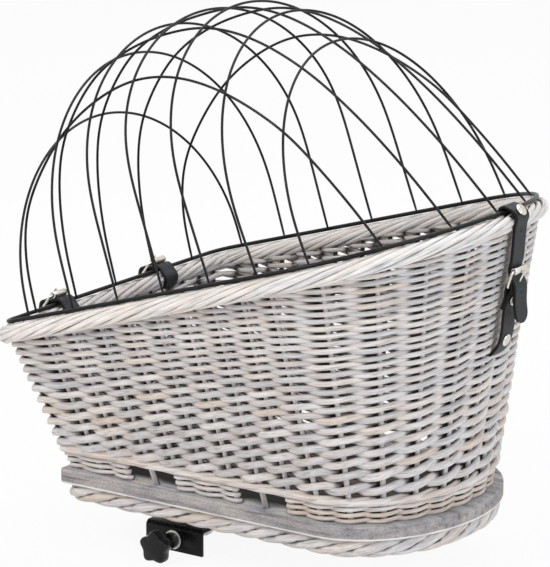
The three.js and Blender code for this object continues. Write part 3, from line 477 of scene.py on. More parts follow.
def rod_mesh(name, rods, sides=8, tall=1.0, open_from=-0.8):
    curve = bpy.data.curves.new(name, "CURVE")
    curve.dimensions, curve.fill_mode = "3D", "FULL"
    curve.bevel_depth, curve.bevel_resolution = 1.0, (sides - 4) // 2
    for one in rods:
        spline = add_line(curve, one["points"] * (1, 1, 1 / tall), one["closed"])
        spline.points.foreach_set("radius", one["radius"])
    mesh = mesh_of(name, curve)
    mesh.transform(Matrix.Diagonal((1, 1, tall, 1)))
    mark_rods(mesh, rods, sides, open_from)
    work = bmesh.new()
    work.from_mesh(mesh)
    bmesh.ops.holes_fill(work, edges=work.edges, sides=sides)
    bmesh.ops.recalc_face_normals(work, faces=work.faces)
    work.to_mesh(mesh)
    work.free()
    mesh.shade_smooth()
    return mesh


print("tube helpers ready")

# %% Marks on the rods
craft = np.random.default_rng(11)
# Painted shade: points that face into the weave, and the inner wall low down, are marked closed and painted
# near black.
LIT_OVER, INSIDE_FROM = 1.7, 1.8
INNER_SHADE_BELOW, INNER_SHADE_FADES_OVER, LEAST_INNER_LIGHT = 80, 90, 0.18


def gather(rods, key, sides):
    return np.repeat(np.concatenate([one[key] for one in rods]), sides, axis=0)


def mark_rods(mesh, rods, sides, open_from):
    corners = np.empty(len(mesh.vertices) * 3)
    mesh.vertices.foreach_get("co", corners)
    across = corners.reshape(-1, 3) - gather(rods, "points", sides)
    along = np.concatenate([craft.uniform(0, 50) + lengths_round(one["points"])[:-1] for one in rods])
    place = np.column_stack([np.repeat(along, sides), across[:, 0] + across[:, 1], across[:, 2]])
    depth = gather(rods, "depth", sides) + (across * gather(rods, "out_way", sides)).sum(axis=1)
    outside = np.clip((depth / MM - open_from) / LIT_OVER, 0, 1)
    # The inner wall's painted shade is deepest near the board and fades out higher up.
    lit = np.clip((corners[2::3] / MM - INNER_SHADE_BELOW) / INNER_SHADE_FADES_OVER, LEAST_INNER_LIGHT, 1)
    inside = np.clip(-depth / MM - INSIDE_FROM, 0, 1) * lit
    mesh.attributes.new("rod_place", "FLOAT_VECTOR", "POINT").data.foreach_set("vector", place.ravel())
    marks = {"rod_tint": gather(rods, "tint", sides), "rod_light_reach": np.maximum(outside, inside)}
    for name, values in marks.items():
        mesh.attributes.new(name, "FLOAT", "POINT").data.foreach_set("value", values)


print("fully brushed from", INNER_SHADE_BELOW + INNER_SHADE_FADES_OVER, "mm up")

# %% Uneven handwork
STAKES_PER_ROD = 8.0


def uneven(stake, size):
    """A different small error at every stake, smooth in between, as handwork has."""
    first, last = int(np.floor(stake[0])) - 1, int(np.ceil(stake[-1])) + 2
    return np.interp(stake, np.arange(first, last), craft.normal(0, size, last - first))


def rod_tints(stake, change_at):
    """A new rod is laid in every few stakes, where the old one lies behind a stake."""
    turn = np.floor((stake - change_at) / STAKES_PER_ROD).astype(int)
    return craft.random(turn.max() - turn.min() + 1)[turn - turn.min()]


print("a new rod every", STAKES_PER_ROD, "stakes")

# %% [markdown]
# ## Stakes
# The stakes stand in holes in the board and lean out to the rim. In each of the four slots above the board
# one of them shows bare; higher up they only glint between the weavers. They taper towards the rim, as a
# willow rod does, so their radius falls with height. The tops end inside the rim border, out of sight.

# %% Stakes from the board to the rim
def woven(name, rods, finish, *stands_for, **settings):
    """Rods that belong to the basket, shown as one piece of willow."""
    piece = show_piece(name, rod_mesh(name, rods, **settings), finish, "basket", "willow", *stands_for)
    print(name, "of", len(rods), "rods, triangles:", 2 * len(piece.data.polygons))


def stake_radius(height):
    return np.interp(height, [BOARD_TOP, 70, 260], [2.85, 2.45, 1.9])


STAKE_POINTS, STAKE_SUNK, STAKE_IN_RIM = 9, 0.5, 6.0
stake_rods = []
for number in range(STAKES):
    here = np.full(STAKE_POINTS, float(number))
    heights = np.linspace(BOARD_TOP - STAKE_SUNK, wall_top(here)[0] + STAKE_IN_RIM, STAKE_POINTS)
    tint = craft.uniform(0.0, 0.5)
    stake_rods.append(rod(wall_point(here, heights), stake_radius(heights), tint, wall_way(here), 0.0))
woven("stakes", stake_rods, weave_willow,
      "slot_stake_near_1", "slot_stake_near_2", "slot_stake_far_1", "slot_stake_far_2")

# %% [markdown]
# ## Paired weaving
# The wall is paired: two weavers cross between every two stakes, so at each stake one lies in front and one
# behind. Seen from the side a pair is a flat screw with the stakes passing through it, so a cosine gives
# the depth and a sine the height. Crossings fill the row, and at the stakes a dark lens stays open. Rows
# near the board are thick, upper rows finer, and as the rim slopes the upper rows run out under it.

# %% How the rows run
FIRST_ROW, LEVEL_BELOW, SETTLED_OVER = 64.5, 60.0, 15.0
ROW_RISE, MIDDLE_X = 0.04, 53.5
STEPS = 6


def row_pitch(row):
    return 6.1 + 4.4 / (1 + (row / 7.0) ** 3)


def row_level(stake, level):
    """Rows rise gently towards the round end, all but the lowest."""
    settle = min(1.0, (level - LEVEL_BELOW) / SETTLED_OVER)
    return level + settle * ROW_RISE * (round_wall(wall_foot, stake)[:, 0] - MIDDLE_X)


def row_stakes(level, tuck=7.0):
    """The stakes a row passes: all of them, or those where it is still below the rim."""
    scan = np.arange(HINGE_STAKE, APEX_STAKE, 0.05)
    under = row_level(scan, level) < wall_top(scan) + tuck
    if under.all():
        return np.arange(HINGE_STAKE, STAKES + HINGE_STAKE, 1 / STEPS), True
    first = scan[np.argmax(under)]
    return np.arange(first, 2 * APEX_STAKE - first, 1 / STEPS), False


print("pitch of the first and the tenth row:", round(row_pitch(0), 2), round(row_pitch(9), 2))

# %% Wall rows
PRESSED, ROD_SHARE, PRESSED_IN = 1.3, 0.325, 0.55


def paired_row(level, pitch):
    stake, closed = row_stakes(level)
    made = []
    for strand in (0, 1):
        turn = np.pi * (stake + strand)
        thick = ROD_SHARE * pitch / PRESSED * (1 + uneven(stake, 0.05))
        height = row_level(stake, level) + pitch / 4 * np.sin(turn) + uneven(stake, 0.25)
        out = (stake_radius(level) + thick - PRESSED_IN) * (1 + uneven(stake, 0.04)) * np.cos(turn)
        tint = rod_tints(stake, strand + 1)
        made.append(rod(wall_point(stake, height, out), thick, tint, wall_way(stake), out, closed))
    return made


wall_rods, row, edge = [], 0, FIRST_ROW
apex = np.array([float(APEX_STAKE)])
highest_row = 2 * wall_top(apex)[0] - row_level(apex, wall_top(apex)[0])[0]
while edge + row_pitch(row) / 2 < highest_row:
    wall_rods += paired_row(edge + row_pitch(row) / 2, row_pitch(row))
    edge += row_pitch(row)
    row += 1
woven("woven_wall", wall_rods, weave_willow, "wicker_wall", tall=PRESSED)

# %% [markdown]
# ## Lower weaving
# Over the slots a heavy row, the wale, holds the stakes in line: three weavers, each in front of two stakes
# and behind one. Below it, fine weaving fills four blocks and leaves the slots open. A weaver turns back
# round the last stake of its block, so each row of a block is one closed loop that goes out in front of the
# stakes and comes back behind them.

# %% The wale
def wale(level, pitch, thick):
    made = []
    stake = np.arange(HINGE_STAKE, STAKES + HINGE_STAKE, 1 / STEPS)
    for strand in range(3):
        step = np.mod(stake - strand, 3)
        out = np.interp(step, [0, 0.5, 1, 1.5, 2, 2.5, 3], [-1, 0.1, 0.95, 1.1, 0.95, 0.1, -1])
        rise = np.interp(step, [0, 0.5, 2.5, 3], [0, -1, 1, 0])
        height = level + rise * pitch / 2 + uneven(stake, 0.15)
        reach = (stake_radius(level) + thick - 0.4) * out
        tint = rod_tints(stake, strand) * 0.4 + 0.6
        size = thick * (1 + uneven(stake, 0.04))
        made.append(rod(wall_point(stake, height, reach), size, tint, wall_way(stake), reach))
    return made


woven("wale", wale(level=62.0, pitch=3.8, thick=2.15), weave_willow, tall=PRESSED)


# %% Lower blocks between the slots
def block_row(first, last, level, thick):
    reach = stake_radius(level) + thick - 0.5
    front = np.arange(first, last + 1e-6, 1 / STEPS)
    bend = np.radians([22.5, 45, 67.5, 90, 112.5, 135, 157.5])
    far_turn = last + reach / STAKE_SPACING * np.sin(bend)
    near_turn = first - reach / STAKE_SPACING * np.sin(bend)
    stake = np.concatenate([front, far_turn, front[::-1], near_turn])
    turn = np.pi * (front - first)
    ends = np.cos(turn[-1]) * np.cos(bend)
    out = reach * np.concatenate([np.cos(turn), ends, -np.cos(turn[::-1]), -np.cos(bend)])
    lift = np.sin(turn) * thick * 0.55
    height = level + np.concatenate([lift, 0 * bend, -lift[::-1], 0 * bend])
    tint = craft.uniform(0.4, 1.0)
    return rod(wall_point(stake, height, out), thick, tint, wall_way(stake), out, closed=True)


BLOCKS = [(3, 5), (7, 19), (21, 23), (25, 35)]
BLOCK_LEVELS, BLOCK_ROD = (45.5, 50.7, 55.9), 1.42
block_rods = [block_row(*ends, level, BLOCK_ROD) for ends in BLOCKS for level in BLOCK_LEVELS]
woven("lower_blocks", block_rods, weave_willow, "band_hinge_end", "band_near_middle", "band_far_middle",
      "band_round_end", tall=PRESSED, open_from=-0.5)

# %% [markdown]
# ## Rim and foot borders
# The rim is a thick roll of rods that wind slowly round it and show as long slanting strokes. The foot is a
# shorter, tighter twist under the board. Both are screws round a bent line, like rope. With a turn count
# that ends a whole rod further on, all rods join into one endless strand, so there is no seam to hide.

# %% Winding rods round a closed line
def wobble(share, rounds, per_round, size):
    """Small errors of handwork along a rod that goes round a border a number of times."""
    errors = craft.normal(0, size, rounds * per_round)
    return np.interp(share, np.arange(0, rounds, 1 / per_round), errors, period=rounds)


def wound_border(place, rounds, turns, thick, slack, steps, tint_range):
    """place(share, angle) gives a rod's middle and the roll's middle at a share of the way round."""
    share = np.arange(0, rounds, 1 / steps)
    angle = 2 * np.pi * turns * share + wobble(share, rounds, 20, slack)
    tint = craft.uniform(*tint_range, rounds * 5)[(share * 5).astype(int)]
    size = thick * (1 + wobble(share, rounds, 25, 0.05))
    points, middle = place(np.mod(share, 1), angle)
    way = (points - middle) / np.linalg.norm(points - middle, axis=1)[:, None]
    return rod(points, size, tint, way, 0.0, closed=True)


def follow(line, values, share):
    """Values given at the points of a closed line, at a share of the way round it."""
    run = lengths_round(line)
    columns = [np.interp(share * run[-1], run[:-1], column, period=run[-1]) for column in values.T]
    return np.column_stack(columns)


def rolled(line, reach, share, angle):
    """The middle of a roll at a share of the way round, and a rod's place in it, both seen flat."""
    middle, out = follow(line, line, share), follow(line, outward(line), share)
    return middle, middle + out * (reach * np.cos(angle))[:, None]


print("winding helpers ready")

# %% Rim border
RIM_ROD, RIM_HALF_WIDTH, RIM_HALF_HEIGHT, RIM_DROP = 2.7, 10.0, 8.0, 10.4
rim_line = d_outline(RING)


def rim_place(share, angle):
    middle, flat = rolled(rim_line, RIM_HALF_WIDTH - RIM_ROD, share, angle)
    return on_rim(flat, RIM_DROP - (RIM_HALF_HEIGHT - RIM_ROD) * np.sin(angle)), on_rim(middle, RIM_DROP)


rim_rod = wound_border(rim_place, rounds=8, turns=7 + 3 / 8, thick=RIM_ROD, slack=0.07, steps=200,
                       tint_range=(0.0, 1.0))
woven("rim_roll", [rim_rod], border_willow, "rim_border", open_from=0.35)

# %% Foot border under the board
FOOT_ROD, FOOT_HALF_WIDTH, FOOT_HALF_HEIGHT, FOOT_MIDDLE = 4.1, 7.0, 8.0, 22.7
FOOT_IN_FROM_BOARD = 10
foot_line = d_outline(BOARD, FOOT_IN_FROM_BOARD)


def foot_place(share, angle):
    middle, flat = rolled(foot_line, FOOT_HALF_WIDTH - FOOT_ROD, share, angle)
    height = FOOT_MIDDLE + (FOOT_HALF_HEIGHT - FOOT_ROD) * np.sin(angle)
    return np.column_stack([flat, height]), np.column_stack([middle, np.full(len(share), FOOT_MIDDLE)])


foot_rod = wound_border(foot_place, rounds=4, turns=10.25, thick=FOOT_ROD, slack=0.05, steps=240,
                        tint_range=(0.3, 1.0))
woven("foot_roll", [foot_rod], weave_willow, "foot_border", open_from=-0.25)

# %% [markdown]
# ## Board
# The board is sawn from plain wood, washed grey and already worn. Its edges are slightly broken, so a flat
# outline curve with a thickness and a small bevel makes it in one step. The finish runs along the board:
# long grey streaks, fine dark cracks, open pores on the sawn side, and a white line where the lower edge is
# rubbed bare. Inside the tub the floor is painted dark as painted shadow, lighter in the middle and darkest
# towards the weave, and the grey wash is kept only in a narrow strip along the weave.

# %% Board finish
board_finish, tree, shader = new_finish("grey_washed_board", rough=0.82, shine=0.25)
place = object_place(tree)
grain = noise(tree, stretched(tree, place, (14, 190, 260)), detail=5, roughness=0.6)
patches = noise(tree, stretched(tree, place, (26, 40, 90)), detail=3)
pores = noise(tree, stretched(tree, place, (420, 1100, 1100)), detail=2)
wash = ramp(tree, patches, [(0.3, srgb(158, 159, 166)), (0.48, srgb(184, 182, 184)),
                            (0.62, srgb(203, 200, 200)), (0.76, srgb(196, 179, 163))])
streaks = ramp(tree, grain, [(0.3, grey(0.4)), (0.46, grey(0.88)), (0.7, grey(1.06))])
pitted = ramp(tree, pores, [(0.36, grey(0.76)), (0.58, grey(1.06))])
colour = blend_colours(tree, 1.0, wash, streaks, "MULTIPLY")
colour = blend_colours(tree, 1.0, colour, pitted, "MULTIPLY")
x, y, z = add_node(tree, "ShaderNodeSeparateXYZ", {0: place}).outputs

below_top = maths(tree, "SUBTRACT", BOARD_TOP - 0.2, maths(tree, "DIVIDE", z, MM))
sawn = ramp(tree, below_top, [(0.0, grey(0.0)), (0.6, grey(0.55))])
sawn_colour = blend_colours(tree, 1.0, colour, srgb(224, 212, 204), "MULTIPLY")
colour = blend_colours(tree, sawn, colour, sawn_colour)
above_low_edge = maths(tree, "DIVIDE", maths(tree, "SUBTRACT", z, BOARD_LOW * MM), 2 * MM)
worn = ramp(tree, above_low_edge, [(0.7, grey(1.0)), (1.0, grey(0.0))])
worn = maths(tree, "MULTIPLY", worn, maths(tree, "MULTIPLY", patches, 1.9), clamp=True)
washed = blend_colours(tree, worn, colour, srgb(240, 237, 234))

# Painted shadow inside the tub: the floor is darkened, lighter in its middle and darkest towards the weave.
SHADOW_MIDDLE, SHADOW_TO_HINGE, SHADOW_HALF_WIDTH = 40.5 * MM, 131.5 * MM, 104 * MM
ROUND_FROM, ROUND_DEPTH = 164 * MM, 70 * MM
into_end = maths(tree, "DIVIDE", maths(tree, "SUBTRACT", x, ROUND_FROM), ROUND_DEPTH)
into_end = maths(tree, "MAXIMUM", into_end, 0.0)
aside = maths(tree, "DIVIDE", maths(tree, "ABSOLUTE", y), SHADOW_HALF_WIDTH)
to_hinge = maths(tree, "DIVIDE", maths(tree, "SUBTRACT", SHADOW_MIDDLE, x), SHADOW_TO_HINGE)
reach = frayed(tree, maths(tree, "MAXIMUM", slant(tree, into_end, aside), to_hinge), patches, 0.14)
on_top = maths(tree, "GREATER_THAN", z, (BOARD_TOP - 0.5) * MM)
inside = maths(tree, "MULTIPLY", ramp(tree, reach, [(0.84, grey(0.97)), (0.95, grey(0.0))]), on_top)
# The painted shadow's colours; the grain streaks still run through it.
bare_wood_and_shade = ramp(tree, reach, [(0.1, srgb(104, 93, 85)), (0.6, srgb(32, 28, 26))])
bare_wood_and_shade = blend_colours(tree, 1.0, bare_wood_and_shade, streaks, "MULTIPLY")
tree.links.new(blend_colours(tree, inside, washed, bare_wood_and_shade), shader.inputs["Base Color"])
bump(tree, shader, grain, distance=0.0006, strength=0.7)
print("board finish:", board_finish.name)


# %% Board
def slab(name, outline, low, high, edge):
    curve = bpy.data.curves.new(name, "CURVE")
    curve.dimensions, curve.fill_mode = "2D", "BOTH"
    curve.extrude, curve.bevel_depth = ((high - low) / 2 - edge) * MM, edge * MM
    curve.bevel_resolution, curve.offset = 2, -edge * MM
    add_line(curve, np.column_stack([outline * MM, np.zeros(len(outline))]), closed=True)
    mesh = mesh_of(name, curve)
    mesh.transform(Matrix.Translation((0, 0, (low + high) / 2 * MM)))
    mesh.shade_smooth()
    mesh.set_sharp_from_angle(angle=math.radians(35))
    return mesh


board_mesh = slab("board", d_outline(BOARD), BOARD_LOW, BOARD_TOP, edge=1.0)
board = show_piece("board", board_mesh, board_finish, "basket", "plywood", "base_board")
refinish("clamp_block", board_finish)
print("board triangles:", 2 * len(board.data.polygons))

# %% [markdown]
# ## Metal and plastic finishes
# The dome is black coated wire, the clamp black lacquered plate, the buckles bright nickel and the screws
# dull zinc. None of them is one even colour: coatings dapple, plating shows faint wear, moulded plastic has
# a fine grain. Each finish takes its small differences from noise on the object's own coordinates.

# %% Metal and plastic finishes
def dappled(name, dark, light, rough, scale, depth, metal=0.0, shine=0.5):
    finish, tree, shader = new_finish(name, metal=metal, shine=shine)
    place = object_place(tree)
    broad, fine = noise(tree, place, scale=scale), noise(tree, place, scale=scale * 9, detail=2)
    tree.links.new(ramp(tree, broad, [(0.35, dark), (0.65, light)]), shader.inputs["Base Color"])
    roughness = ramp(tree, fine, [(0.3, grey(rough[0])), (0.7, grey(rough[1]))])
    tree.links.new(roughness, shader.inputs["Roughness"])
    bump(tree, shader, fine, distance=depth, strength=0.5)
    return finish


black_wire = dappled("black_coated_wire", grey(0.004), grey(0.011), rough=(0.3, 0.44),
                     scale=140, depth=0.00004, shine=0.22)
black_plate = dappled("black_lacquered_plate", grey(0.003), grey(0.007), rough=(0.22, 0.36),
                      scale=60, depth=0.00003, shine=0.16)
black_plastic = dappled("moulded_black_plastic", grey(0.003), grey(0.008), rough=(0.1, 0.2),
                        scale=160, depth=0.00002, shine=0.26)
bright_nickel = dappled("bright_nickel", srgb(206, 200, 190), srgb(232, 228, 220), rough=(0.16, 0.3),
                        scale=220, depth=0.00001, metal=1.0)
dull_zinc = dappled("dull_zinc", srgb(168, 168, 166), srgb(205, 204, 200), rough=(0.34, 0.5),
                    scale=160, depth=0.00006, metal=1.0)
for finish in (black_wire, black_plate, black_plastic, bright_nickel, dull_zinc):
    print("finish:", finish.name)

# %% [markdown]
# ## Wire dome
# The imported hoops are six-sided. Rather than drawing every arch again, a copy of each is merged, its
# triangles are joined back into squares, and a subdivision surface rounds it. Rounding a six-sided tube
# draws it in by a sixth, which lands on the slimmer wire of the photograph.

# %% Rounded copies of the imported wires
SAME_POINT = 2e-6


def merged_copy(node):
    mesh = nodes[node].data.copy()
    work = bmesh.new()
    work.from_mesh(mesh)
    bmesh.ops.remove_doubles(work, verts=work.verts, dist=SAME_POINT)
    bmesh.ops.join_triangles(work, faces=work.faces, angle_face_threshold=0.7, angle_shape_threshold=1.4)
    work.to_mesh(mesh)
    work.free()
    return mesh


def rounded(piece, levels):
    smooth = piece.modifiers.new("rounded", "SUBSURF")
    smooth.levels = smooth.render_levels = levels
    piece.data.shade_smooth()


cross_hoops = [f"cross_hoop_{i}" for i in range(1, 8)]
long_hoops = [f"long_hoop_{i}" for i in range(1, 6)]
lid_wires = ["lid_ring"] + cross_hoops + long_hoops
for wire in lid_wires:
    rounded(show_piece(f"smooth_{wire}", merged_copy(wire), black_wire, "lid", "black_wire", wire), 2)
print("rounded wires:", len(lid_wires))

# %% [markdown]
# ## Straps
# A strap is a long thin sheet that follows a line, seen from the side, at one place across the basket. The
# line could be drawn by hand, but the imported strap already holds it: the outline of its side face is one
# long edge out and another back, and the strap's line runs midway between the two. A grid is bent along
# that line, narrowed to a round tip where the strap ends free, and a modifier gives it its thickness and
# another its rubbed edges. The grid's own coordinates become the UV map, so stitches and holes follow the
# leather.

# %% Leather finish
STRAP_WIDTH, STRAP_THICK = 18.0, 2.2
SEAM_ASIDE, STITCH_PITCH = 7.1 * MM, 3.4 * MM
HOLE_START, HOLE_PITCH, HOLE_RADIUS = 25.3 * MM, 26 * MM, 1.1 * MM
leather, tree, shader = new_finish("black_leather", shine=0.25)
strap_uv = add_node(tree, "ShaderNodeUVMap", uv_map="strap").outputs["UV"]
along, across, _ = add_node(tree, "ShaderNodeSeparateXYZ", {0: strap_uv}).outputs
place = object_place(tree)
pebbles = add_node(tree, "ShaderNodeTexVoronoi", {"Vector": place}, Scale=1500.0).outputs["Distance"]
creases = noise(tree, place, scale=90, detail=5)
aside = maths(tree, "ABSOLUTE", across)
from_seam = maths(tree, "ABSOLUTE", maths(tree, "SUBTRACT", aside, SEAM_ASIDE))
groove = maths(tree, "SUBTRACT", 1.0, maths(tree, "MULTIPLY", from_seam, 1400), clamp=True)
stitch_wave = maths(tree, "SINE", maths(tree, "MULTIPLY", along, math.tau / STITCH_PITCH))
thread = maths(tree, "MULTIPLY", groove, maths(tree, "GREATER_THAN", stitch_wave, -0.1))
from_hole = maths(tree, "PINGPONG", maths(tree, "SUBTRACT", along, HOLE_START), HOLE_PITCH / 2)
past_hole_edge = maths(tree, "SUBTRACT", slant(tree, from_hole, across), HOLE_RADIUS)
hole = maths(tree, "SUBTRACT", 1.0, maths(tree, "MULTIPLY", past_hole_edge, 3000), clamp=True)
body_colour = ramp(tree, creases, [(0.3, srgb(30, 31, 33)), (0.55, srgb(46, 48, 50)),
                                   (0.8, srgb(66, 68, 71))])
past_seam = maths(tree, "SUBTRACT", aside, SEAM_ASIDE + 0.1 * MM)
rim_paint = maths(tree, "MULTIPLY", past_seam, 1500, clamp=True)
# The grooves by the seams are painted near black as painted shade; the strip past the seams gets the same
# dark edge colour.
sewn = blend_colours(tree, maths(tree, "MAXIMUM", groove, rim_paint), body_colour, srgb(12, 12, 13))
sewn = blend_colours(tree, maths(tree, "MULTIPLY", thread, 0.45), sewn, srgb(84, 85, 87))
# The holes are not cut: they are painted near black as painted shade.
sewn = blend_colours(tree, hole, sewn, srgb(6, 6, 6))
tree.links.new(sewn, shader.inputs["Base Color"])
tree.links.new(ramp(tree, creases, [(0.3, grey(0.38)), (0.7, grey(0.58))]), shader.inputs["Roughness"])
relief = maths(tree, "MULTIPLY", pebbles, 0.35)
for mark, height in ((groove, -0.9), (thread, 1.2), (hole, -2.0)):
    relief = maths(tree, "ADD", relief, maths(tree, "MULTIPLY", mark, height))
bump(tree, shader, relief, distance=0.0004, strength=0.8)
print("leather finish ready")


# %% The line down the middle of a packed strap
FLAT_WITHIN = 0.01 * MM


def middle_of(node):
    """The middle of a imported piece's box, in millimetres."""
    corners = np.array(nodes[node].bound_box) / MM
    return (corners.min(axis=0) + corners.max(axis=0)) / 2


def side_outline(node):
    """The corners round a packed strap's near side face, in order, as (x, z) in millimetres."""
    work = bmesh.new()
    work.from_mesh(nodes[node].data)
    bmesh.ops.remove_doubles(work, verts=work.verts, dist=SAME_POINT)
    near = min(vert.co.y for vert in work.verts) + FLAT_WITHIN
    side = [face for face in work.faces if all(vert.co.y < near for vert in face.verts)]
    border = [edge for face in side for edge in face.edges
              if sum(other in side for other in edge.link_faces) == 1]
    here, walked, outline = border[0].verts[0], set(), []
    while len(outline) < len(border):
        outline.append((here.co.x / MM, here.co.z / MM))
        edge = next(edge for edge in here.link_edges if edge in border and edge not in walked)
        walked.add(edge)
        here = edge.other_vert(here)
    work.free()
    return np.array(outline)


def middle_line(node):
    """The line midway between a strap's two faces, from its upper end to its lower one."""
    outline = side_outline(node)
    half = len(outline) // 2

    def two_faces(start):
        return np.roll(outline, -start, axis=0)[:half], np.roll(outline[::-1], start, axis=0)[:half]

    def apart(start):
        one, other = two_faces(start)
        return np.linalg.norm(one - other, axis=1).sum()
    one, other = two_faces(min(range(half), key=apart))
    line = (one + other) / 2
    return line if line[0, 1] > line[-1, 1] else line[::-1]


print("hinge strap line:", len(middle_line("hinge_strap_near")), "points")


# %% Straps bent along their lines
STRAP_STEP, STRAP_FACES_ACROSS, STRAP_EDGE = 1.2, 10, 0.5


def length_along(line):
    return np.concatenate([[0], np.cumsum(np.linalg.norm(np.diff(line, axis=0), axis=1))])


def evenly(line, step):
    """The same line in even steps, its kinks eased by averaging neighbours."""
    run = length_along(line)
    places = np.linspace(0, run[-1], round(run[-1] / step) + 1)
    fine = np.column_stack([np.interp(places, run, line[:, 0]), np.interp(places, run, line[:, 1])])
    for _ in range(2):
        fine[1:-1] = (fine[:-2] + 2 * fine[1:-1] + fine[2:]) / 4
    return fine


def strap(name, node, body, tip=0.0):
    line, middle = evenly(middle_line(node), STRAP_STEP), middle_of(node)[1]
    run = length_along(line)
    left = np.clip(run[-1] - run, 0.15, None)
    half = np.full(len(line), STRAP_WIDTH / 2)
    if tip:
        near_tip = left < tip
        half[near_tip] *= np.sqrt(1 - (1 - left[near_tip] / tip) ** 2)
    work = bmesh.new()
    uv_layer = work.loops.layers.uv.new("strap")
    bmesh.ops.create_grid(work, x_segments=len(line) - 1, y_segments=STRAP_FACES_ACROSS, size=1)
    for vert in work.verts:
        step = round((vert.co.x + 1) / 2 * (len(line) - 1))
        for loop in vert.link_loops:
            loop[uv_layer].uv = (run[step] * MM, vert.co.y * half[step] * MM)
        vert.co = Vector((line[step][0], middle + vert.co.y * half[step], line[step][1])) * MM
    mesh = bpy.data.meshes.new(name)
    work.to_mesh(mesh)
    work.free()
    mesh.shade_smooth()
    piece = show_piece(name, mesh, leather, body, "leather", node)
    thickness = piece.modifiers.new("thickness", "SOLIDIFY")
    thickness.thickness, thickness.offset = STRAP_THICK * MM, 0.0
    edges = piece.modifiers.new("rubbed_edges", "BEVEL")
    edges.width, edges.segments, edges.limit_method = STRAP_EDGE * MM, 2, "ANGLE"
    return piece


for side in ("near", "far"):
    strap(f"hinge_leather_{side}", f"hinge_strap_{side}", "basket", tip=8.0)
closing_strap = strap("closing_leather_upper", "closing_strap_upper", "closing_strap", tip=9.0)
strap("closing_leather_lower", "closing_strap_lower", "basket")
print("straps made, closing strap of", len(closing_strap.data.polygons), "faces")

# %% [markdown]
# ## Buckles and rivets
# A roller buckle is a bent wire frame with a loose sleeve on its front bar and a tongue on its heel bar.
# The frames are rounded copies, as the wires were. Sleeves and rivet heads are turned shapes: a short
# profile spun about its own axis, then carried to its place with one matrix, so that the finished object
# still sits at the origin. A packed rivet is broader than it is long, so the direction in which its corners
# spread least is the way it faces.

# %% Turned pieces
def turned(name, profile, place, axis, steps=36):
    """profile holds (radius, height) pairs in millimetres from one end of the axis to the other."""
    work = bmesh.new()
    chain = [work.verts.new((radius * MM, 0, height * MM)) for radius, height in profile]
    for first, second in zip(chain, chain[1:]):
        work.edges.new((first, second))
    bmesh.ops.spin(work, geom=work.verts[:] + work.edges[:], axis=(0, 0, 1), cent=(0, 0, 0), dvec=(0, 0, 0),
                   angle=math.tau, steps=steps, use_merge=True, use_duplicate=False)
    bmesh.ops.remove_doubles(work, verts=work.verts, dist=1e-6)
    bmesh.ops.recalc_face_normals(work, faces=work.faces)
    mesh = bpy.data.meshes.new(name)
    work.to_mesh(mesh)
    work.free()
    turn = Vector(axis).to_track_quat("Z", "Y").to_matrix().to_4x4()
    mesh.transform(Matrix.Translation(Vector(place) * MM) @ turn)
    mesh.shade_smooth()
    mesh.set_sharp_from_angle(angle=math.radians(50))
    return mesh


print("turning helper ready")

# %% Buckle frames, sleeves and tongues
SLEEVE = [(1.6, -8.4), (2.6, -8.4), (2.88, -8.25), (3.0, -7.9),
          (3.0, 7.9), (2.88, 8.25), (2.6, 8.4), (1.6, 8.4), (1.6, -8.4)]
BUCKLES = ("closing", "hinge_near", "hinge_far")
for buckle in BUCKLES:
    frame_node, roller_node = f"{buckle}_buckle", f"{buckle}_roller"
    wire_frame = show_piece(f"{buckle}_frame", merged_copy(frame_node), bright_nickel, "basket",
                            "bright_steel", frame_node)
    rounded(wire_frame, 2)
    sleeve_mesh = turned(f"{buckle}_sleeve", SLEEVE, middle_of(roller_node), (0, 1, 0))
    show_piece(f"{buckle}_sleeve", sleeve_mesh, bright_nickel, roller_node, "bright_steel", roller_node)
    refinish(f"{buckle}_tongue", bright_nickel)
print("buckles:", len(BUCKLES))

# %% Rivets
SHANK = [(0, -3.6), (1.65, -3.6), (1.7, 0.1), (4.7, 0.1), (5.1, 0.35)]
CAP = SHANK + [(5.25, 0.7), (5.0, 1.15), (4.2, 1.6), (2.8, 1.95), (0, 2.1)]
EYELET = SHANK + [(5.25, 0.8), (5.0, 1.4), (4.3, 1.9), (3.6, 1.8), (2.9, 1.2), (2.6, 0.2), (0, 0.1)]
RIVETS = {"upper": (CAP, "closing_strap"), "middle": (EYELET, "basket"), "lower": (CAP, "basket")}


def rivet_seat(node, height):
    """Where a packed rivet lies on its strap, height below its top, and the way its cap faces."""
    corners = np.array([vert.co for vert in nodes[node].data.vertices])
    corners = np.unique(corners.round(7), axis=0)[:, [0, 2]] / MM
    facing = np.linalg.eigh(np.cov(corners.T))[1][:, 0]
    facing *= np.sign(facing[0])
    aside = np.array([-facing[1], facing[0]])
    across = corners @ aside
    seat = facing * ((corners @ facing).max() - height) + aside * (across.min() + across.max()) / 2
    return (seat[0], middle_of(node)[1], seat[1]), (facing[0], 0, facing[1])


for name, (profile, body) in RIVETS.items():
    node = f"closing_rivet_{name}"
    place, facing = rivet_seat(node, height=CAP[-1][1])
    mesh = turned(f"rivet_{name}", profile, place, facing)
    show_piece(f"rivet_{name}", mesh, bright_nickel, body, "bright_steel", node)
    print("rivet", name, "at", np.round(place, 2), "facing", np.round(facing, 2))

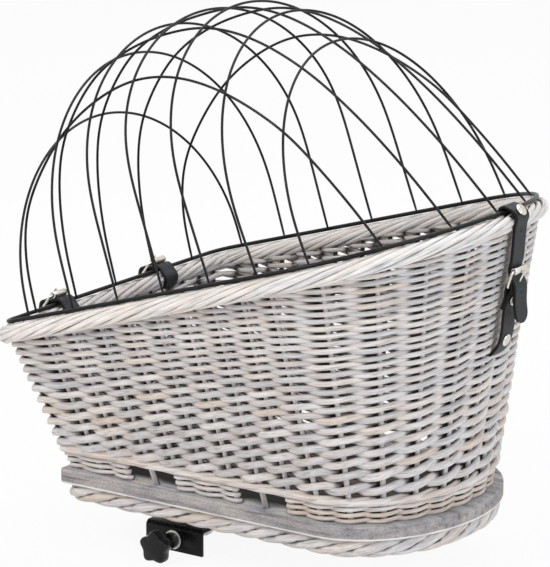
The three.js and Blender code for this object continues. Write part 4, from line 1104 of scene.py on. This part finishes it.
# %% [markdown]
# ## Clamp
# The clamp is folded plate with a moulded star knob. Sharp edges catch no light and give a model away, so
# copies of the plate and the knob are merged, their flat faces joined, and their edges rounded by a bevel.
# The washer and the heads of the board's screws are turned, as the rivets were. The clamp's screws, nut,
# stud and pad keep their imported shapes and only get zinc.

# %% Clamp plate and knob
def eased_copy(piece_name, node, finish, body, slot, width):
    mesh = nodes[node].data.copy()
    work = bmesh.new()
    work.from_mesh(mesh)
    bmesh.ops.remove_doubles(work, verts=work.verts, dist=SAME_POINT)
    bmesh.ops.dissolve_limit(work, angle_limit=math.radians(1), verts=work.verts, edges=work.edges)
    sharp = [e for e in work.edges if len(e.link_faces) == 2 and e.calc_face_angle() > math.radians(32)]
    bmesh.ops.bevel(work, geom=sharp, offset=width * MM, offset_type="OFFSET", affect="EDGES", segments=2,
                    profile=0.5, material=-1, clamp_overlap=True)
    work.to_mesh(mesh)
    work.free()
    mesh.shade_smooth()
    mesh.set_sharp_from_angle(angle=math.radians(40))
    return show_piece(piece_name, mesh, finish, body, slot, node)


eased_copy("clamp_plate", "clamp_bracket", black_plate, "basket", "black_steel", 0.5)
knob = eased_copy("star_knob", "clamp_knob", black_plastic, "clamp_knob", "black_plastic", 0.35)
print("knob faces:", len(knob.data.polygons))

# %% Washer, screw heads and zinc parts
WASHER = [(4.3, -0.9), (7.9, -0.9), (8.25, -0.6), (8.25, 0.6), (7.9, 0.9), (4.3, 0.9), (4.3, -0.9)]
washer_mesh = turned("washer", WASHER, middle_of("clamp_washer"), (0, 1, 0))
show_piece("washer", washer_mesh, dull_zinc, "clamp_slider", "zinc_steel", "clamp_washer")
SCREW_HEAD = [(0, -2.0), (2.0, -2.0), (4.0, 0.0), (3.9, 0.35), (2.6, 0.75), (0, 0.9)]
for i in range(1, 5):
    x, y, _ = middle_of(f"board_screw_{i}")
    head = turned(f"board_screw_head_{i}", SCREW_HEAD, (x, y, BOARD_TOP), (0, 0, 1))
    show_piece(f"board_screw_head_{i}", head, dull_zinc, "basket", "zinc_steel", f"board_screw_{i}")
for node in ["clamp_nut", "clamp_stud", "clamp_pad"] + [f"clamp_screw_{i}" for i in range(1, 5)]:
    refinish(node, dull_zinc)
print("clamp ready")
